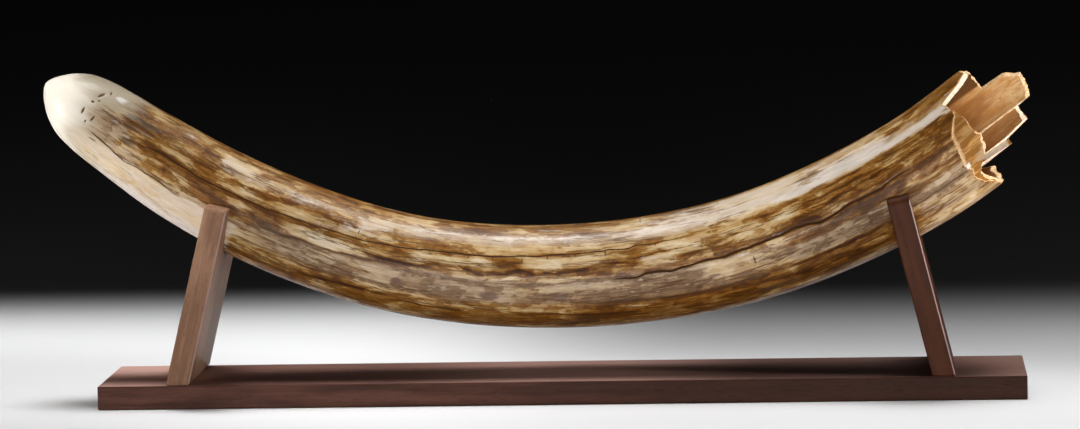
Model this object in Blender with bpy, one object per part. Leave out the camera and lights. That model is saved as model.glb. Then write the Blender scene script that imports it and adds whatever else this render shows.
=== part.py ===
"""A mammoth tusk lying in the two notched posts of its wooden stand.

Metres, +Z up, +X towards the broken root of the tusk. The origin is the middle of the base board's
underside, so the stand rests on the plane z = 0.
"""
import math

import bpy
import numpy as np
from mathutils import Vector

MM = 0.001

# ---- The stand: planed hardwood boards -------------------------------------------------------------
BOARD_LENGTH = 850 * MM
BOARD_WIDTH = 146 * MM
BOARD_THICKNESS = 22 * MM
POST_THICKNESS = 20.8 * MM
POST_LEAN = math.radians(13.8)          # both posts lean in, towards the middle of the board
TIP_POST_FOOT = -361.8 * MM             # outer edge of each foot, where it meets the board's top face
ROOT_POST_FOOT = 360.4 * MM
TIP_POST_TOP = 184.4 * MM               # height of the horns' square-cut ends, at mid thickness
ROOT_POST_TOP = 185.0 * MM
HORN_ROUND = 6.5 * MM                   # rounding of a horn's outer top corner
BOARD_EASE = 1.5 * MM                   # edges taken off with a plane
POST_EASE = 0.9 * MM
CLEARANCE = 0.3 * MM                    # between one piece and the next
NOTCH_STEPS = 14                        # straight steps round half of a notch

# ---- The tusk: stations along its axis, as (distance from the tip in mm, value) -----------------------
TIP_X = -478.9 * MM
TIP_Z = 295.2 * MM
AXIS_SLOPE = ((0, -34.5), (60, -34.5), (120, -33.5), (200, -27.5), (320, -18.5), (430, -7.0),
              (540, 2.0), (650, 11.0), (760, 22.0), (860, 29.5), (930, 37.5), (1020, 38.0))  # degrees
GIRTH_RADIUS = ((0, 0.0), (3, 7.5), (10, 16.0), (22, 26.0), (38, 33.5), (60, 37.5), (95, 40.0),
                (150, 43.5), (260, 46.0), (420, 47.0), (600, 49.0), (760, 51.5), (880, 53.0),
                (1020, 53.0))                                                                # mm
SPIRAL = 8 * MM                         # how far the axis winds out of its plane
SPIRAL_SPAN = 311 * MM                  # it crosses the plane here, over the two notches

# ---- The broken root: (degrees round the tusk, reach in mm past BREAK_STATION) --------------------------
# 0 is the top of the tusk, 90 its near side (-Y), 180 its underside.
BREAK_STATION = 930
RIM = ((-180, -3), (-160, -2.5), (-145, -4), (-136.5, -3.5), (-128.5, -14), (-126.5, -18),
       (-125.5, 21), (-118.5, 20), (-117.5, 23), (-114, 44.5), (-106, 45), (-97, 44.5),
       (-96, 58.5), (-86, 63), (-70.5, 65.5), (-67.5, 60), (-62, 57), (-59.5, 53),
       (-58, 30), (-43, 31), (-27, 31), (-10, 28.5), (8, 28.5), (20, 33.5), (25, 32), (31, 25), (42, 2),
       (48, 4), (58, 6), (70, 9), (87, 11), (95, 12.7), (109, 9.4), (115, 5.5), (124, -6),
       (132, -9), (140, -8), (148, -6), (156, -4), (170, -4), (180, -3))
# The outermost layer of ivory has flaked away from the near side of the rim, down to this edge.
FLAKE_EDGE = ((46, 3), (53, 4.5), (63, 3.5), (76, -9), (83, -11.5), (90, -11.7), (96, -15), (109.5, -18),
              (120, -14), (128, -17.4), (137, -14), (144, -13), (149, -8.5), (156, -5.5))
FLAKE_DEPTH = 2.4 * MM
EDGE_CHIP = 0.4 * MM                    # the sharp outer edge of the break is chipped off by this much
EDGE_CHIP_LENGTH = 1.0 * MM
WALL = ((-180, 4.6), (-127, 3.6), (-97, 3.4), (-94, 5.2), (-60, 4.8), (0, 5.4), (40, 5.2), (90, 4.8),
        (140, 5.4), (180, 4.6))         # thickness of the wall at the break, in mm
CAVITY_DEPTH = 200                      # mm, from BREAK_STATION to the end of the pulp cavity
CAVITY_TAPER = 1.4                      # 1 would make the cavity a plain cone

# ---- How finely the tusk is divided ------------------------------------------------------------------
TIP_ROWS = (2, 6, 11, 17, 25, 36, 50, 70, 95)
BODY_ROW_PITCH = 42                     # mm
COLUMN_STEP = 7.5                       # degrees
COLUMN_GAP = 0.7                        # no two columns are closer than this
LAST_EVEN_ROW = 893                     # rows beyond it follow the break
BREAK_ROWS = 4
CAVITY_ROWS = (893, 865, 830, 790, 755, 738)


def smooth_through(stations, places):
    """A monotone curve through the stations, read at the places (Fritsch and Carlson's cubic)."""
    x, y = np.array(stations, dtype=float).T
    steps = np.diff(x)
    slopes = np.diff(y) / steps
    tangents = np.zeros_like(y)
    tangents[0] = slopes[0]
    tangents[-1] = slopes[-1]
    for i in range(1, len(x) - 1):
        if slopes[i - 1] * slopes[i] > 0:
            near = 2 * steps[i] + steps[i - 1]
            far = steps[i] + 2 * steps[i - 1]
            tangents[i] = (near + far) / (near / slopes[i - 1] + far / slopes[i])
    k = np.clip(np.searchsorted(x, places, side="right") - 1, 0, len(steps) - 1)
    t = (np.asarray(places, dtype=float) - x[k]) / steps[k]
    return ((1 + 2 * t) * (1 - t) ** 2 * y[k] + t * (1 - t) ** 2 * steps[k] * tangents[k]
            + t * t * (3 - 2 * t) * y[k + 1] + t * t * (t - 1) * steps[k] * tangents[k + 1])


class Axis:
    """The tusk's centreline: position, section directions and radius at a distance from the tip."""

    PITCH = 1.0                         # mm between the points that the slope is summed over

    def __init__(self):
        self.stations = np.arange(0.0, AXIS_SLOPE[-1][0] + self.PITCH, self.PITCH)
        middles = self.stations[:-1] + self.PITCH / 2
        slope = np.radians(smooth_through(AXIS_SLOPE, middles))
        run = np.concatenate([[0.0], np.cumsum(np.cos(slope))]) * self.PITCH * MM
        rise = np.concatenate([[0.0], np.cumsum(np.sin(slope))]) * self.PITCH * MM
        across = (TIP_X + run) / SPIRAL_SPAN
        self.points = np.stack([TIP_X + run, -SPIRAL * across * (across ** 2 - 1), TIP_Z + rise], axis=1)
        squares = [(place, radius ** 2) for place, radius in GIRTH_RADIUS]
        self.radii = np.sqrt(smooth_through(squares, self.stations)) * MM

    def at(self, station):
        """Centre, direction along the tusk, direction to its top, direction to its near side, radius."""
        read = [np.interp(station, self.stations, self.points[:, i]) for i in range(3)]
        ahead = [np.interp(station + 1, self.stations, self.points[:, i]) for i in range(3)]
        behind = [np.interp(station - 1, self.stations, self.points[:, i]) for i in range(3)]
        centre = Vector(read)
        along = (Vector(ahead) - Vector(behind)).normalized()
        top = (Vector((0, 0, 1)) - along * along.z).normalized()
        return centre, along, top, along.cross(top), float(np.interp(station, self.stations, self.radii))


AXIS = Axis()


def around(stations, angle):
    """The value at an angle of a list of (degrees, value) that runs round the tusk."""
    degrees, values = zip(*stations)
    return float(np.interp(angle, degrees, values))


def column_angles():
    """Even columns, with one on every corner of the break in place of those that lie too close to it."""
    corners = sorted({angle for angle, _ in RIM + FLAKE_EDGE if angle < 180})
    kept = []
    for angle in corners:
        if not kept or angle - kept[-1] >= COLUMN_GAP:
            kept.append(angle)
    for angle in np.arange(-180 + COLUMN_STEP / 2, 180, COLUMN_STEP):
        if min(abs(angle - other) for other in kept) > COLUMN_STEP * 0.45:
            kept.append(float(angle))
    return sorted(kept)


def skin_point(station, angle, inward=0.0):
    """A point of the outer surface, or the given depth under it."""
    centre, _, top, near, radius = AXIS.at(station)
    turn = math.radians(angle)
    return centre + (top * math.cos(turn) + near * math.sin(turn)) * (radius - inward)


def cavity_point(station, angle):
    """A point of the pulp cavity's wall, which narrows to the end of the cavity."""
    centre, _, top, near, radius = AXIS.at(station)
    share = 1 - (max(0.0, BREAK_STATION - station) / CAVITY_DEPTH) ** CAVITY_TAPER
    turn = math.radians(angle)
    return centre + (top * math.cos(turn) + near * math.sin(turn)) * (radius - around(WALL, angle) * MM) * share


def tusk_rings(angles):
    """Rings of points from the tip, over the outside and the broken rim, and down into the cavity."""
    body = np.arange(TIP_ROWS[-1] + BODY_ROW_PITCH, LAST_EVEN_ROW, BODY_ROW_PITCH)
    even = list(TIP_ROWS) + [float(s) for s in body if LAST_EVEN_ROW - s > BODY_ROW_PITCH / 3] + [LAST_EVEN_ROW]
    rim = [BREAK_STATION + around(RIM, a) for a in angles]
    flaked = [FLAKE_EDGE[0][0] < a < FLAKE_EDGE[-1][0] for a in angles]
    chip = EDGE_CHIP_LENGTH / MM
    edge = [BREAK_STATION + around(FLAKE_EDGE, a) if f else r - chip for a, f, r in zip(angles, flaked, rim)]
    depth = [FLAKE_DEPTH if f else EDGE_CHIP for f in flaked]

    rings = [[skin_point(s, a) for a in angles] for s in even]
    for part in np.linspace(0, 1, BREAK_ROWS + 1)[1:]:
        rings.append([skin_point(LAST_EVEN_ROW + part * (e - LAST_EVEN_ROW), a) for a, e in zip(angles, edge)])
    rings.append([skin_point(e + chip / 2, a, d) for a, e, d in zip(angles, edge, depth)])
    rings.append([skin_point(max(r, e + chip), a, d) for a, e, r, d in zip(angles, edge, rim, depth)])
    for part in np.linspace(1, 0, BREAK_ROWS + 1)[:-1]:
        rings.append([cavity_point(CAVITY_ROWS[0] + part * (r - CAVITY_ROWS[0]), a) for a, r in zip(angles, rim)])
    rings += [[cavity_point(s, a) for a in angles] for s in CAVITY_ROWS]
    return rings


def add_object(name, points, faces, material):
    mesh = bpy.data.meshes.new(name)
    mesh.from_pydata([tuple(p) for p in points], [], faces)
    mesh.validate()
    mesh.materials.append(material)
    piece = bpy.data.objects.new(name, mesh)
    bpy.context.collection.objects.link(piece)
    return piece


def add_material(name, colour, roughness):
    material = bpy.data.materials.new(name)
    material.use_nodes = True
    shader = material.node_tree.nodes["Principled BSDF"]
    shader.inputs["Base Color"].default_value = (*colour, 1)
    shader.inputs["Roughness"].default_value = roughness
    shader.inputs["Metallic"].default_value = 0
    return material


def build_tusk():
    """One closed skin: the outside, the broken rim and the pulp cavity, with a pole at each end."""
    angles = column_angles()
    rings = tusk_rings(angles)
    count = len(angles)
    points = [p for ring in rings for p in ring]
    faces = []
    for row in range(len(rings) - 1):
        for i in range(count):
            j = (i + 1) % count
            low, high = row * count, (row + 1) * count
            faces.append((low + i, low + j, high + j, high + i))
    tip = len(points)
    points.append(AXIS.at(0)[0])
    points.append(AXIS.at(BREAK_STATION - CAVITY_DEPTH)[0])
    last = (len(rings) - 1) * count
    for i in range(count):
        j = (i + 1) % count
        faces.append((tip, j, i))
        faces.append((last + i, last + j, tip + 1))
    tusk = add_object("tusk", points, faces, add_material("ivory", (0.58, 0.42, 0.24), 0.3))
    tusk.data.shade_smooth()
    tusk.data.set_sharp_from_angle(angle=math.radians(35))
    return tusk


def section(angle, origin, up, through):
    """Where the tusk's skin, with the clearance round it, crosses a post's face: (y, distance up)."""
    low, high = 100.0, 900.0
    while high - low > 0.01:
        middle = (low + high) / 2
        past = (skin_point(middle, angle, -CLEARANCE) - origin).dot(through) * through.x > 0
        low, high = (low, middle) if past else (middle, high)
    spot = skin_point(low, angle, -CLEARANCE)
    return spot.y, (spot - origin).dot(up)


def notch_end(side, origin, up, through, horn_top):
    """The angle round the tusk where its skin rises past the horn's top, on side -1 (+Y) or 1 (-Y)."""
    low, high = 30.0, 180.0
    while high - low > 0.01:
        middle = (low + high) / 2
        above = section(side * middle, origin, up, through)[1] > horn_top
        low, high = (middle, high) if above else (low, middle)
    return side * high


def post_outline(origin, up, through, horn_top, foot):
    """The outline of one face of a post, as (y, distance up the post) points.

    The notch fits the tusk's underside. The foot is cut level, while the post leans.
    """
    half = BOARD_WIDTH / 2
    horn = [(half, foot)]
    for step in range(5):
        bend = math.radians(22.5 * step)
        horn.append((half - HORN_ROUND * (1 - math.cos(bend)), horn_top - HORN_ROUND * (1 - math.sin(bend))))
    far, near = [notch_end(side, origin, up, through, horn_top) for side in (-1, 1)]
    notch = [section(angle, origin, up, through)
             for angle in np.linspace(360 + far, near, 2 * NOTCH_STEPS + 1)]
    return horn + notch + [(-y, w) for y, w in reversed(horn)]


def build_post(name, foot_edge, inward, top_height, material):
    """A leaning board with a notch for the tusk; inward is +1 where the board's middle lies towards +X."""
    up = Vector((inward * math.sin(POST_LEAN), 0, math.cos(POST_LEAN)))
    through = Vector((inward * math.cos(POST_LEAN), 0, -math.sin(POST_LEAN)))
    half_foot = POST_THICKNESS / 2 / math.cos(POST_LEAN)
    origin = Vector((foot_edge + inward * half_foot, 0, BOARD_THICKNESS))
    horn_top = (top_height - BOARD_THICKNESS) / math.cos(POST_LEAN)
    points = []
    for depth in (-POST_THICKNESS / 2, POST_THICKNESS / 2):
        face_origin = origin + through * depth
        foot = (CLEARANCE + depth * math.sin(POST_LEAN)) / math.cos(POST_LEAN)
        outline = post_outline(face_origin, up, through, horn_top, foot)
        points += [face_origin + up * w + Vector((0, y, 0)) for y, w in outline]
    count = len(points) // 2
    faces = [tuple(reversed(range(count))), tuple(range(count, 2 * count))]
    faces += [(i, (i + 1) % count, count + (i + 1) % count, count + i) for i in range(count)]
    if inward < 0:
        faces = [tuple(reversed(face)) for face in faces]
    post = add_object(name, points, faces, material)
    ease_edges(post, POST_EASE)
    return post


def ease_edges(piece, width):
    bevel = piece.modifiers.new("eased edges", "BEVEL")
    bevel.width = width
    bevel.segments = 2
    bevel.limit_method = "ANGLE"
    bevel.angle_limit = math.radians(40)


def build_board(material):
    half = Vector((BOARD_LENGTH / 2, BOARD_WIDTH / 2, 0))
    corners = [(x, y, z) for z in (0, BOARD_THICKNESS) for x, y in
               ((-half.x, -half.y), (half.x, -half.y), (half.x, half.y), (-half.x, half.y))]
    faces = [(3, 2, 1, 0), (4, 5, 6, 7)] + [(i, (i + 1) % 4, 4 + (i + 1) % 4, 4 + i) for i in range(4)]
    board = add_object("base_board", corners, faces, material)
    ease_edges(board, BOARD_EASE)
    return board


def main():
    for old in list(bpy.data.objects):
        bpy.data.objects.remove(old, do_unlink=True)
    build_tusk()
    build_board(add_material("board walnut", (0.085, 0.035, 0.022), 0.45))
    build_post("tip_end_post", TIP_POST_FOOT, 1, TIP_POST_TOP, add_material("post walnut", (0.2, 0.095, 0.055), 0.45))
    build_post("root_end_post", ROOT_POST_FOOT, -1, ROOT_POST_TOP,
               add_material("far post walnut", (0.11, 0.04, 0.022), 0.45))


main()
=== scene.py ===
# %% [markdown]
# # A mammoth tusk on its stand
#
# The object is one fossil tusk lying in the notches of two leaning posts, on a plank of dark hardwood.
# The solids that carry its size are loaded first. Everything below is then made in the same frame, in
# metres, with the middle of the plank's underside at the origin, +X towards the broken root and -Y
# towards the reader.

# %% Load the solids
import math

import bpy
import numpy as np
from mathutils import Matrix, Vector, noise
from mathutils.bvhtree import BVHTree


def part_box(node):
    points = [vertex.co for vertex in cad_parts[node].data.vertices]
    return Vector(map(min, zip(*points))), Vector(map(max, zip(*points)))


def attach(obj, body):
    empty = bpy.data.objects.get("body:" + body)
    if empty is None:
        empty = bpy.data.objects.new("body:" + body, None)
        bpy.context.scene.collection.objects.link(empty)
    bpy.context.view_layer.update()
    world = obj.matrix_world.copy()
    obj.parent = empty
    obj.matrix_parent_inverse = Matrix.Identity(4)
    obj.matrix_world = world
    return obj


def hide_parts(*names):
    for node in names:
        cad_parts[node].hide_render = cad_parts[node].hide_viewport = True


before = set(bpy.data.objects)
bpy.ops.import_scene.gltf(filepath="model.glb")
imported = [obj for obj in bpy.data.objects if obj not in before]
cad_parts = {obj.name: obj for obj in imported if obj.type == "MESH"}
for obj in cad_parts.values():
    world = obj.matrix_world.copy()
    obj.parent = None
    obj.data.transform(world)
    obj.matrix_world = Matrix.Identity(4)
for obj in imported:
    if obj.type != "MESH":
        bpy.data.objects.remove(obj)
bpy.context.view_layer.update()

MM = 0.001

# %% Helpers for objects, meshes and nodes
def new_object(name, data):
    """An object at the origin, in the scene."""
    made = bpy.data.objects.new(name, data)
    bpy.context.collection.objects.link(made)
    return made


def new_mesh(name, points, faces):
    mesh = bpy.data.meshes.new(name)
    mesh.from_pydata(points, [], faces)
    return mesh


def triangles(mesh):
    return sum(len(face.vertices) - 2 for face in mesh.polygons)


def set_input(tree, socket, value):
    """Links an input to another node's output, or sets its value."""
    if isinstance(value, bpy.types.NodeSocket):
        tree.links.new(value, socket)
    else:
        socket.default_value = value


def new_node(tree, kind, settings, values):
    """A node with its settings made first, as they can change which inputs it has."""
    node = tree.nodes.new(kind)
    for name, setting in settings.items():
        setattr(node, name, setting)
    for name, value in values.items():
        set_input(tree, node.inputs[name], value)
    return node


print("new objects stand at the origin, new nodes are linked as they are made")

# %% [markdown]
# ## Camera
#
# A tusk is shown from the side, from a little above and far enough away for its curve to stay true. A
# long lens does that: the camera stands 4.5 m off and looks down by less than six degrees. It is turned
# by given angles, first round Z, then X, then the small roll round Y.

# %% Camera
CAMERA_PLACE = (0.286, -4.541, 0.611)
CAMERA_TILT = math.radians(-5.63)
CAMERA_TURN = math.radians(3.75)
CAMERA_ROLL = math.radians(0.82)
CAMERA_LENS = 165.03                    # mm
CAMERA_SENSOR = 36                      # mm wide
CAMERA_SEES = 60                        # metres


def add_camera():
    data = bpy.data.cameras.new("side view")
    data.lens = CAMERA_LENS
    data.sensor_width = CAMERA_SENSOR
    data.clip_end = CAMERA_SEES
    camera = new_object("side view", data)
    level = Matrix.Rotation(math.radians(90), 4, "X")
    turned = (Matrix.Rotation(CAMERA_ROLL, 4, "Y") @ Matrix.Rotation(CAMERA_TILT, 4, "X")
              @ Matrix.Rotation(CAMERA_TURN, 4, "Z") @ level)
    camera.matrix_world = Matrix.Translation(CAMERA_PLACE) @ turned
    bpy.context.scene.camera = camera
    return camera


print("camera at", [round(v, 3) for v in add_camera().matrix_world.translation])

# %% [markdown]
# ## The axis of the tusk
#
# A tusk grows by adding cones of ivory at its root, so it is a tube round a curved axis. The axis could
# be drawn as a Bezier curve, but then its slope would be hard to state. Here the slope is given in
# degrees at a few distances from the tip, a monotone cubic passes through the values, and the curve is
# the sum of short steps along that slope. The girth is read in the same way from a few radii. The tusk
# also winds slightly sideways, as all mammoth tusks do.

# %% The axis and the girth
TIP_X = -478.9 * MM
TIP_Z = 295.2 * MM
AXIS_SLOPE = ((0, -34.5), (60, -34.5), (120, -33.5), (200, -27.5), (320, -18.5), (430, -7.0),
              (540, 2.0), (650, 11.0), (760, 22.0), (860, 29.5), (930, 37.5), (1020, 38.0))
GIRTH_RADIUS = ((0, 0.0), (3, 7.5), (10, 16.0), (22, 26.0), (38, 33.5), (60, 37.5), (95, 40.0),
                (150, 43.5), (260, 46.0), (420, 47.0), (600, 49.0), (760, 51.5), (880, 53.0),
                (1020, 53.0))
SPIRAL = 8 * MM
SPIRAL_SPAN = 311 * MM


def smooth_through(stations, places):
    """A monotone curve through the stations, read at the places (Fritsch and Carlson's cubic)."""
    x, y = np.array(stations, dtype=float).T
    steps = np.diff(x)
    slopes = np.diff(y) / steps
    tangents = np.zeros_like(y)
    tangents[0] = slopes[0]
    tangents[-1] = slopes[-1]
    for i in range(1, len(x) - 1):
        if slopes[i - 1] * slopes[i] > 0:
            near = 2 * steps[i] + steps[i - 1]
            far = steps[i] + 2 * steps[i - 1]
            tangents[i] = (near + far) / (near / slopes[i - 1] + far / slopes[i])
    k = np.clip(np.searchsorted(x, places, side="right") - 1, 0, len(steps) - 1)
    t = (np.asarray(places, dtype=float) - x[k]) / steps[k]
    return ((1 + 2 * t) * (1 - t) ** 2 * y[k] + t * (1 - t) ** 2 * steps[k] * tangents[k]
            + t * t * (3 - 2 * t) * y[k + 1] + t * t * (t - 1) * steps[k] * tangents[k + 1])


every_mm = np.arange(0.0, AXIS_SLOPE[-1][0] + 1)
slope = np.radians(smooth_through(AXIS_SLOPE, every_mm[:-1] + 0.5))
axis_x = TIP_X + np.concatenate([[0], np.cumsum(np.cos(slope))]) * MM
axis_z = TIP_Z + np.concatenate([[0], np.cumsum(np.sin(slope))]) * MM
axis_y = -SPIRAL * axis_x / SPIRAL_SPAN * ((axis_x / SPIRAL_SPAN) ** 2 - 1)
axis_points = np.stack([axis_x, axis_y, axis_z], axis=1)
squared = [(station, radius ** 2) for station, radius in GIRTH_RADIUS]
axis_radii = np.sqrt(smooth_through(squared, every_mm)) * MM
print("axis:", len(axis_points), "points, greatest radius", round(axis_radii.max() / MM, 1), "mm")


def radius_at(station):
    """The tusk's radius, in metres, at distances from the tip in mm."""
    return np.interp(station, every_mm, axis_radii)


def skin_point(station, angle, outward=0.0):
    """A point of the skin. The angle is 0 at the top, 90 on the near side and 180 underneath."""
    def read(place):
        return Vector([float(np.interp(place, every_mm, axis_points[:, i])) for i in range(3)])

    along = (read(station + 1) - read(station - 1)).normalized()
    top = (Vector((0, 0, 1)) - along * along.z).normalized()
    near = along.cross(top)
    turn = math.radians(angle)
    reach = float(radius_at(station)) + outward
    return read(station) + (top * math.cos(turn) + near * math.sin(turn)) * reach

# %% [markdown]
# ## The broken root
#
# The root end was snapped off long ago, so the thin wall round the pulp cavity ends in tall splinters
# and a low near side, where the outermost layer has also flaked away. The break could be cut with a
# noisy boolean, but then its splinters would fall anywhere. It is written instead as an outline round
# the tusk: how many mm the wall reaches past one station, at each angle. A second outline says where the
# flaked layer begins, and others how thick the wall is, how far the fracture slants across it and how
# much of its thickness is fresh ivory. Small random steps then roughen each of these lines.

# %% Outlines of the break
BREAK_STATION = 930
RIM = ((-180, -3), (-160, -2.5), (-145, -4), (-136.5, -3.5), (-128.5, -14), (-126.5, -18),
       (-125.5, 21), (-118.5, 20), (-117.5, 23), (-114, 44.5), (-106, 45), (-97, 44.5),
       (-96, 58.5), (-86, 63), (-70.5, 65.5), (-67.5, 60), (-62, 57), (-59.5, 53),
       (-58, 30), (-43, 31), (-27, 31), (-10, 28.5), (8, 28.5), (20, 33.5), (25, 32), (31, 25), (42, 2),
       (48, 4), (58, 6), (70, 9), (87, 11), (95, 12.7), (109, 9.4), (115, 5.5), (124, -6),
       (132, -9), (140, -8), (148, -6), (156, -4), (170, -4), (180, -3))
FLAKE_EDGE = ((46, 3), (53, 4.5), (63, 3.5), (76, -9), (83, -11.5), (90, -11.7), (96, -15), (109.5, -18),
              (120, -14), (128, -17.4), (137, -14), (144, -13), (149, -8.5), (156, -5.5))
FLAKE_DEPTH = 2.4 * MM
EDGE_CHIP = 0.4 * MM
CHIP_WIDTH = 1                          # mm: the skin ends this far before the rim
WALL = ((-180, 4.6), (-127, 3.6), (-97, 3.4), (-96, 5.4), (-60, 4.8), (0, 5.4), (40, 5.2), (90, 4.8),
        (140, 5.4), (180, 4.6))
STEP_IN_WALL = (-96.5, 921)             # an inner layer ends here: angle, and the station it begins at
STEP_WIDTH = 0.6                        # degrees to either side
SLANT = ((-180, -2), (-136.5, -4), (-128.5, -6), (-126.5, -8), (-125.5, -27), (-118.5, -30),
         (-117.5, -5), (-97, -2.5), (-96, -4), (-70.5, -3), (-59.5, -1.5), (-58, -1), (8, -0.5), (18, 0.5),
         (25, 2.5), (31, 3), (42, 1), (48, 0.5), (84, 0.5), (98, 2), (109, 3), (114, 2), (118, 1), (140, 2),
         (180, -2))
CREAM = ((-180, 1), (-60, 1), (-10, 0.7), (8, 0.4), (20, 1), (42, 1), (50, 0.3), (88, 0.4), (96, 1),
         (180, 1))                      # how much of the wall's thickness is broken, and not lining
CAVITY_DEPTH = 200                      # mm
CAVITY_TAPER = 1.4                      # above 1, the cavity stays wide for longer
RAGGED = ((1.0, 5.6), (0.4, 1.4))       # small steps in the outline of the break: (mm, degrees)
RAGGED_SLANT = (0.9, 3.1)               # and in the slant of its faces
ROUGH_LEDGE = (0.2 * MM, 2.6)           # in the ledge where the skin has flaked away: (depth, degrees)
ROUGH_FRACTURE = (0.6, 2.2)             # and in the rows across the fracture: (mm, degrees)
SEED = {"rim": 11, "flake": 13, "slant": 17, "ledge": 20, "fracture": 30}


def around(outline, angles):
    """An outline's values at the angles."""
    degrees, values = zip(*outline)
    return np.interp(angles, degrees, values)


def jitter(angles, size, step, seed):
    """Small steps round the tusk, the same at -180 and 180 degrees."""
    count = round(360 / step)
    heights = np.random.default_rng(seed).uniform(-1, 1, count)
    heights = np.append(heights, heights[0])
    return size * np.interp(angles, np.linspace(-180, 180, count + 1), heights)


def ragged(angles, seed):
    return sum(jitter(angles, size, step, seed + i) for i, (size, step) in enumerate(RAGGED))


def cavity_reach(stations, angles):
    """The distance of the pulp cavity's wall from the axis: it narrows to a point inside the tusk."""
    depth = np.clip(BREAK_STATION - stations, 0, CAVITY_DEPTH)
    return (radius_at(stations) - around(WALL, angles) * MM) * (1 - (depth / CAVITY_DEPTH) ** CAVITY_TAPER)


print("the break runs from", BREAK_STATION + min(v for _, v in RIM), "to",
      BREAK_STATION + max(v for _, v in RIM), "mm along the axis")

# %% [markdown]
# ## Cracks that the mesh follows
#
# Drying opened long cracks along the grain. A crack could be cut into an even mesh, but it would come
# out as a staircase. Instead one column of the mesh is led along each crack, and the columns between
# two cracks share the room between them. Each crack has a path, which lists its angle at some stations,
# and a strength, which lists how much of its full depth it has there. `rest` is the angle of its column
# in the unled mesh, and `wide` is how far the groove spreads to the next column.

# %% The three long cracks
CRACKS = {
    "upper": {"rest": 62, "depth": 0.45 * MM, "wide": 0.0,
              "path": ((0, 70), (70, 74), (90, 75), (103, 76.4), (116, 75), (126, 71), (140, 70),
                       (160, 70.5), (177, 72.3), (195, 71.5), (235, 71.6), (263, 70.2), (288, 69),
                       (319, 67.4), (340, 68.1), (361, 66.4), (383, 65.2), (398, 63), (414, 62.2),
                       (430, 61.3), (444, 62.6), (470, 61.6), (484, 60.6), (502, 59.8), (523, 58.9),
                       (543, 58.9), (568, 57.2), (586, 58.1), (601, 55.5), (617, 56.4), (638, 55),
                       (650, 54.5), (677, 49.4), (705, 45), (800, 50)),
              "strength": ((64, 0), (75, 0.55), (105, 0.6), (126, 1), (570, 1), (640, 0.8), (700, 0))},
    "lower": {"rest": 85, "depth": 0.6 * MM, "wide": 0.4,
              "path": ((0, 95), (64, 97), (86, 100), (106, 106), (120, 103), (148, 101.5), (163, 105),
                       (300, 94), (400, 94), (435, 97), (470, 96.5), (498, 94.5), (517, 92.8), (540, 90.5),
                       (561, 92), (582, 90.3), (593, 92), (604, 88.8), (618, 87.8), (625, 90.6),
                       (638, 87.8), (649, 86.9), (663, 85.2), (677, 86.8), (688, 85.2), (705, 84.3),
                       (726, 83.5), (746, 81.4), (762, 82.6), (774, 86.6), (795, 83.5), (804, 81.8),
                       (838, 83.5), (850, 80), (862, 78.8), (874, 80), (879, 82.3)),
              "strength": ((58, 0), (68, 0.8), (165, 0.8), (175, 0), (432, 0), (445, 0.45), (570, 0.5),
                           (590, 1), (830, 1), (860, 0.8), (880, 0))},
    "belly": {"rest": 115, "depth": 0.4 * MM, "wide": 0.0,
              "path": ((0, 128), (40, 128), (87, 133), (180, 122), (248, 122), (270, 126), (302, 131),
                       (337, 126), (366, 126.6), (500, 122), (701, 120), (820, 117), (857, 115),
                       (865, 117.6), (873, 114.3), (887, 115.3), (898, 115.3), (915, 114)),
              "strength": ((38, 0), (50, 0.3), (80, 0.3), (90, 0), (235, 0), (260, 0.6), (360, 0.6),
                           (380, 0), (690, 0), (720, 0.4), (830, 0.4), (860, 0.7), (905, 0.7), (915, 0.2))},
}
CRACK_JAG = 0.75                        # degrees: how far a crack wanders off its run
CRACK_JAG_PITCH = 6.5                   # mm
CRACK_JAG_UNTIL = 1000                  # mm: past the end of the tusk
LED_FROM, LED_TO = 15, 165              # columns outside these angles aren't led
LED_UNTIL = (868, 893)                  # the columns come back to their places before the break


def crack_angle(crack, stations, seed):
    """Where the crack runs at each station, with its small steps."""
    knots = np.arange(0, CRACK_JAG_UNTIL, CRACK_JAG_PITCH)
    steps = np.random.default_rng(seed).uniform(-CRACK_JAG, CRACK_JAG, len(knots))
    run = np.interp(stations, *zip(*crack["path"])) + np.interp(stations, knots, steps)
    back = np.clip((stations - LED_UNTIL[0]) / (LED_UNTIL[1] - LED_UNTIL[0]), 0, 1)
    return run + (crack["rest"] - run) * back


def lead_columns(rest_angles, station):
    """The angles of the columns at a station, with one column along each crack."""
    marks = [LED_FROM] + [crack["rest"] for crack in CRACKS.values()] + [LED_TO]
    led = [LED_FROM] + [float(crack_angle(crack, np.array([station]), seed)[0])
                        for seed, crack in enumerate(CRACKS.values())] + [LED_TO]
    inside = (rest_angles > LED_FROM) & (rest_angles < LED_TO)
    return np.where(inside, np.interp(rest_angles, marks, led), rest_angles)


print("cracks:", ", ".join(f"{name} at {crack['rest']} degrees" for name, crack in CRACKS.items()))

# %% [markdown]
# ## Rows and columns
#
# The skin is one sheet of four-sided faces, rolled round the axis and turned in at the break to line the
# cavity. Columns are closest on the near side, and several stand in each cliff of the broken rim, so that
# the sides of its splinters are faces of their own. Rows are closest where small pits mark the tip.

# %% Choose the columns
NEAR_SIDE = (-28, 152)
NEAR_STEP = 0.88                        # degrees
FAR_STEP = 1.95
CLIFF_STEP = 2.4                        # mm of rim between two columns


def column_angles():
    """The angles of the columns: one at every corner of an outline, and even steps between them."""
    corners = sorted({float(a) for a, _ in RIM + FLAKE_EDGE if a < 180}
                     | {float(crack["rest"]) for crack in CRACKS.values()})
    columns = []
    for start, stop in zip(corners, corners[1:] + [180.0]):
        middle = (start + stop) / 2
        step = NEAR_STEP if NEAR_SIDE[0] < middle < NEAR_SIDE[1] else FAR_STEP
        climb = abs(float(around(RIM, stop) - around(RIM, start)))
        count = max(1, round((stop - start) / step), round(climb / CLIFF_STEP) if stop - start < 4 else 1)
        columns += list(np.linspace(start, stop, count, endpoint=False))
    return np.array(columns)


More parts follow.
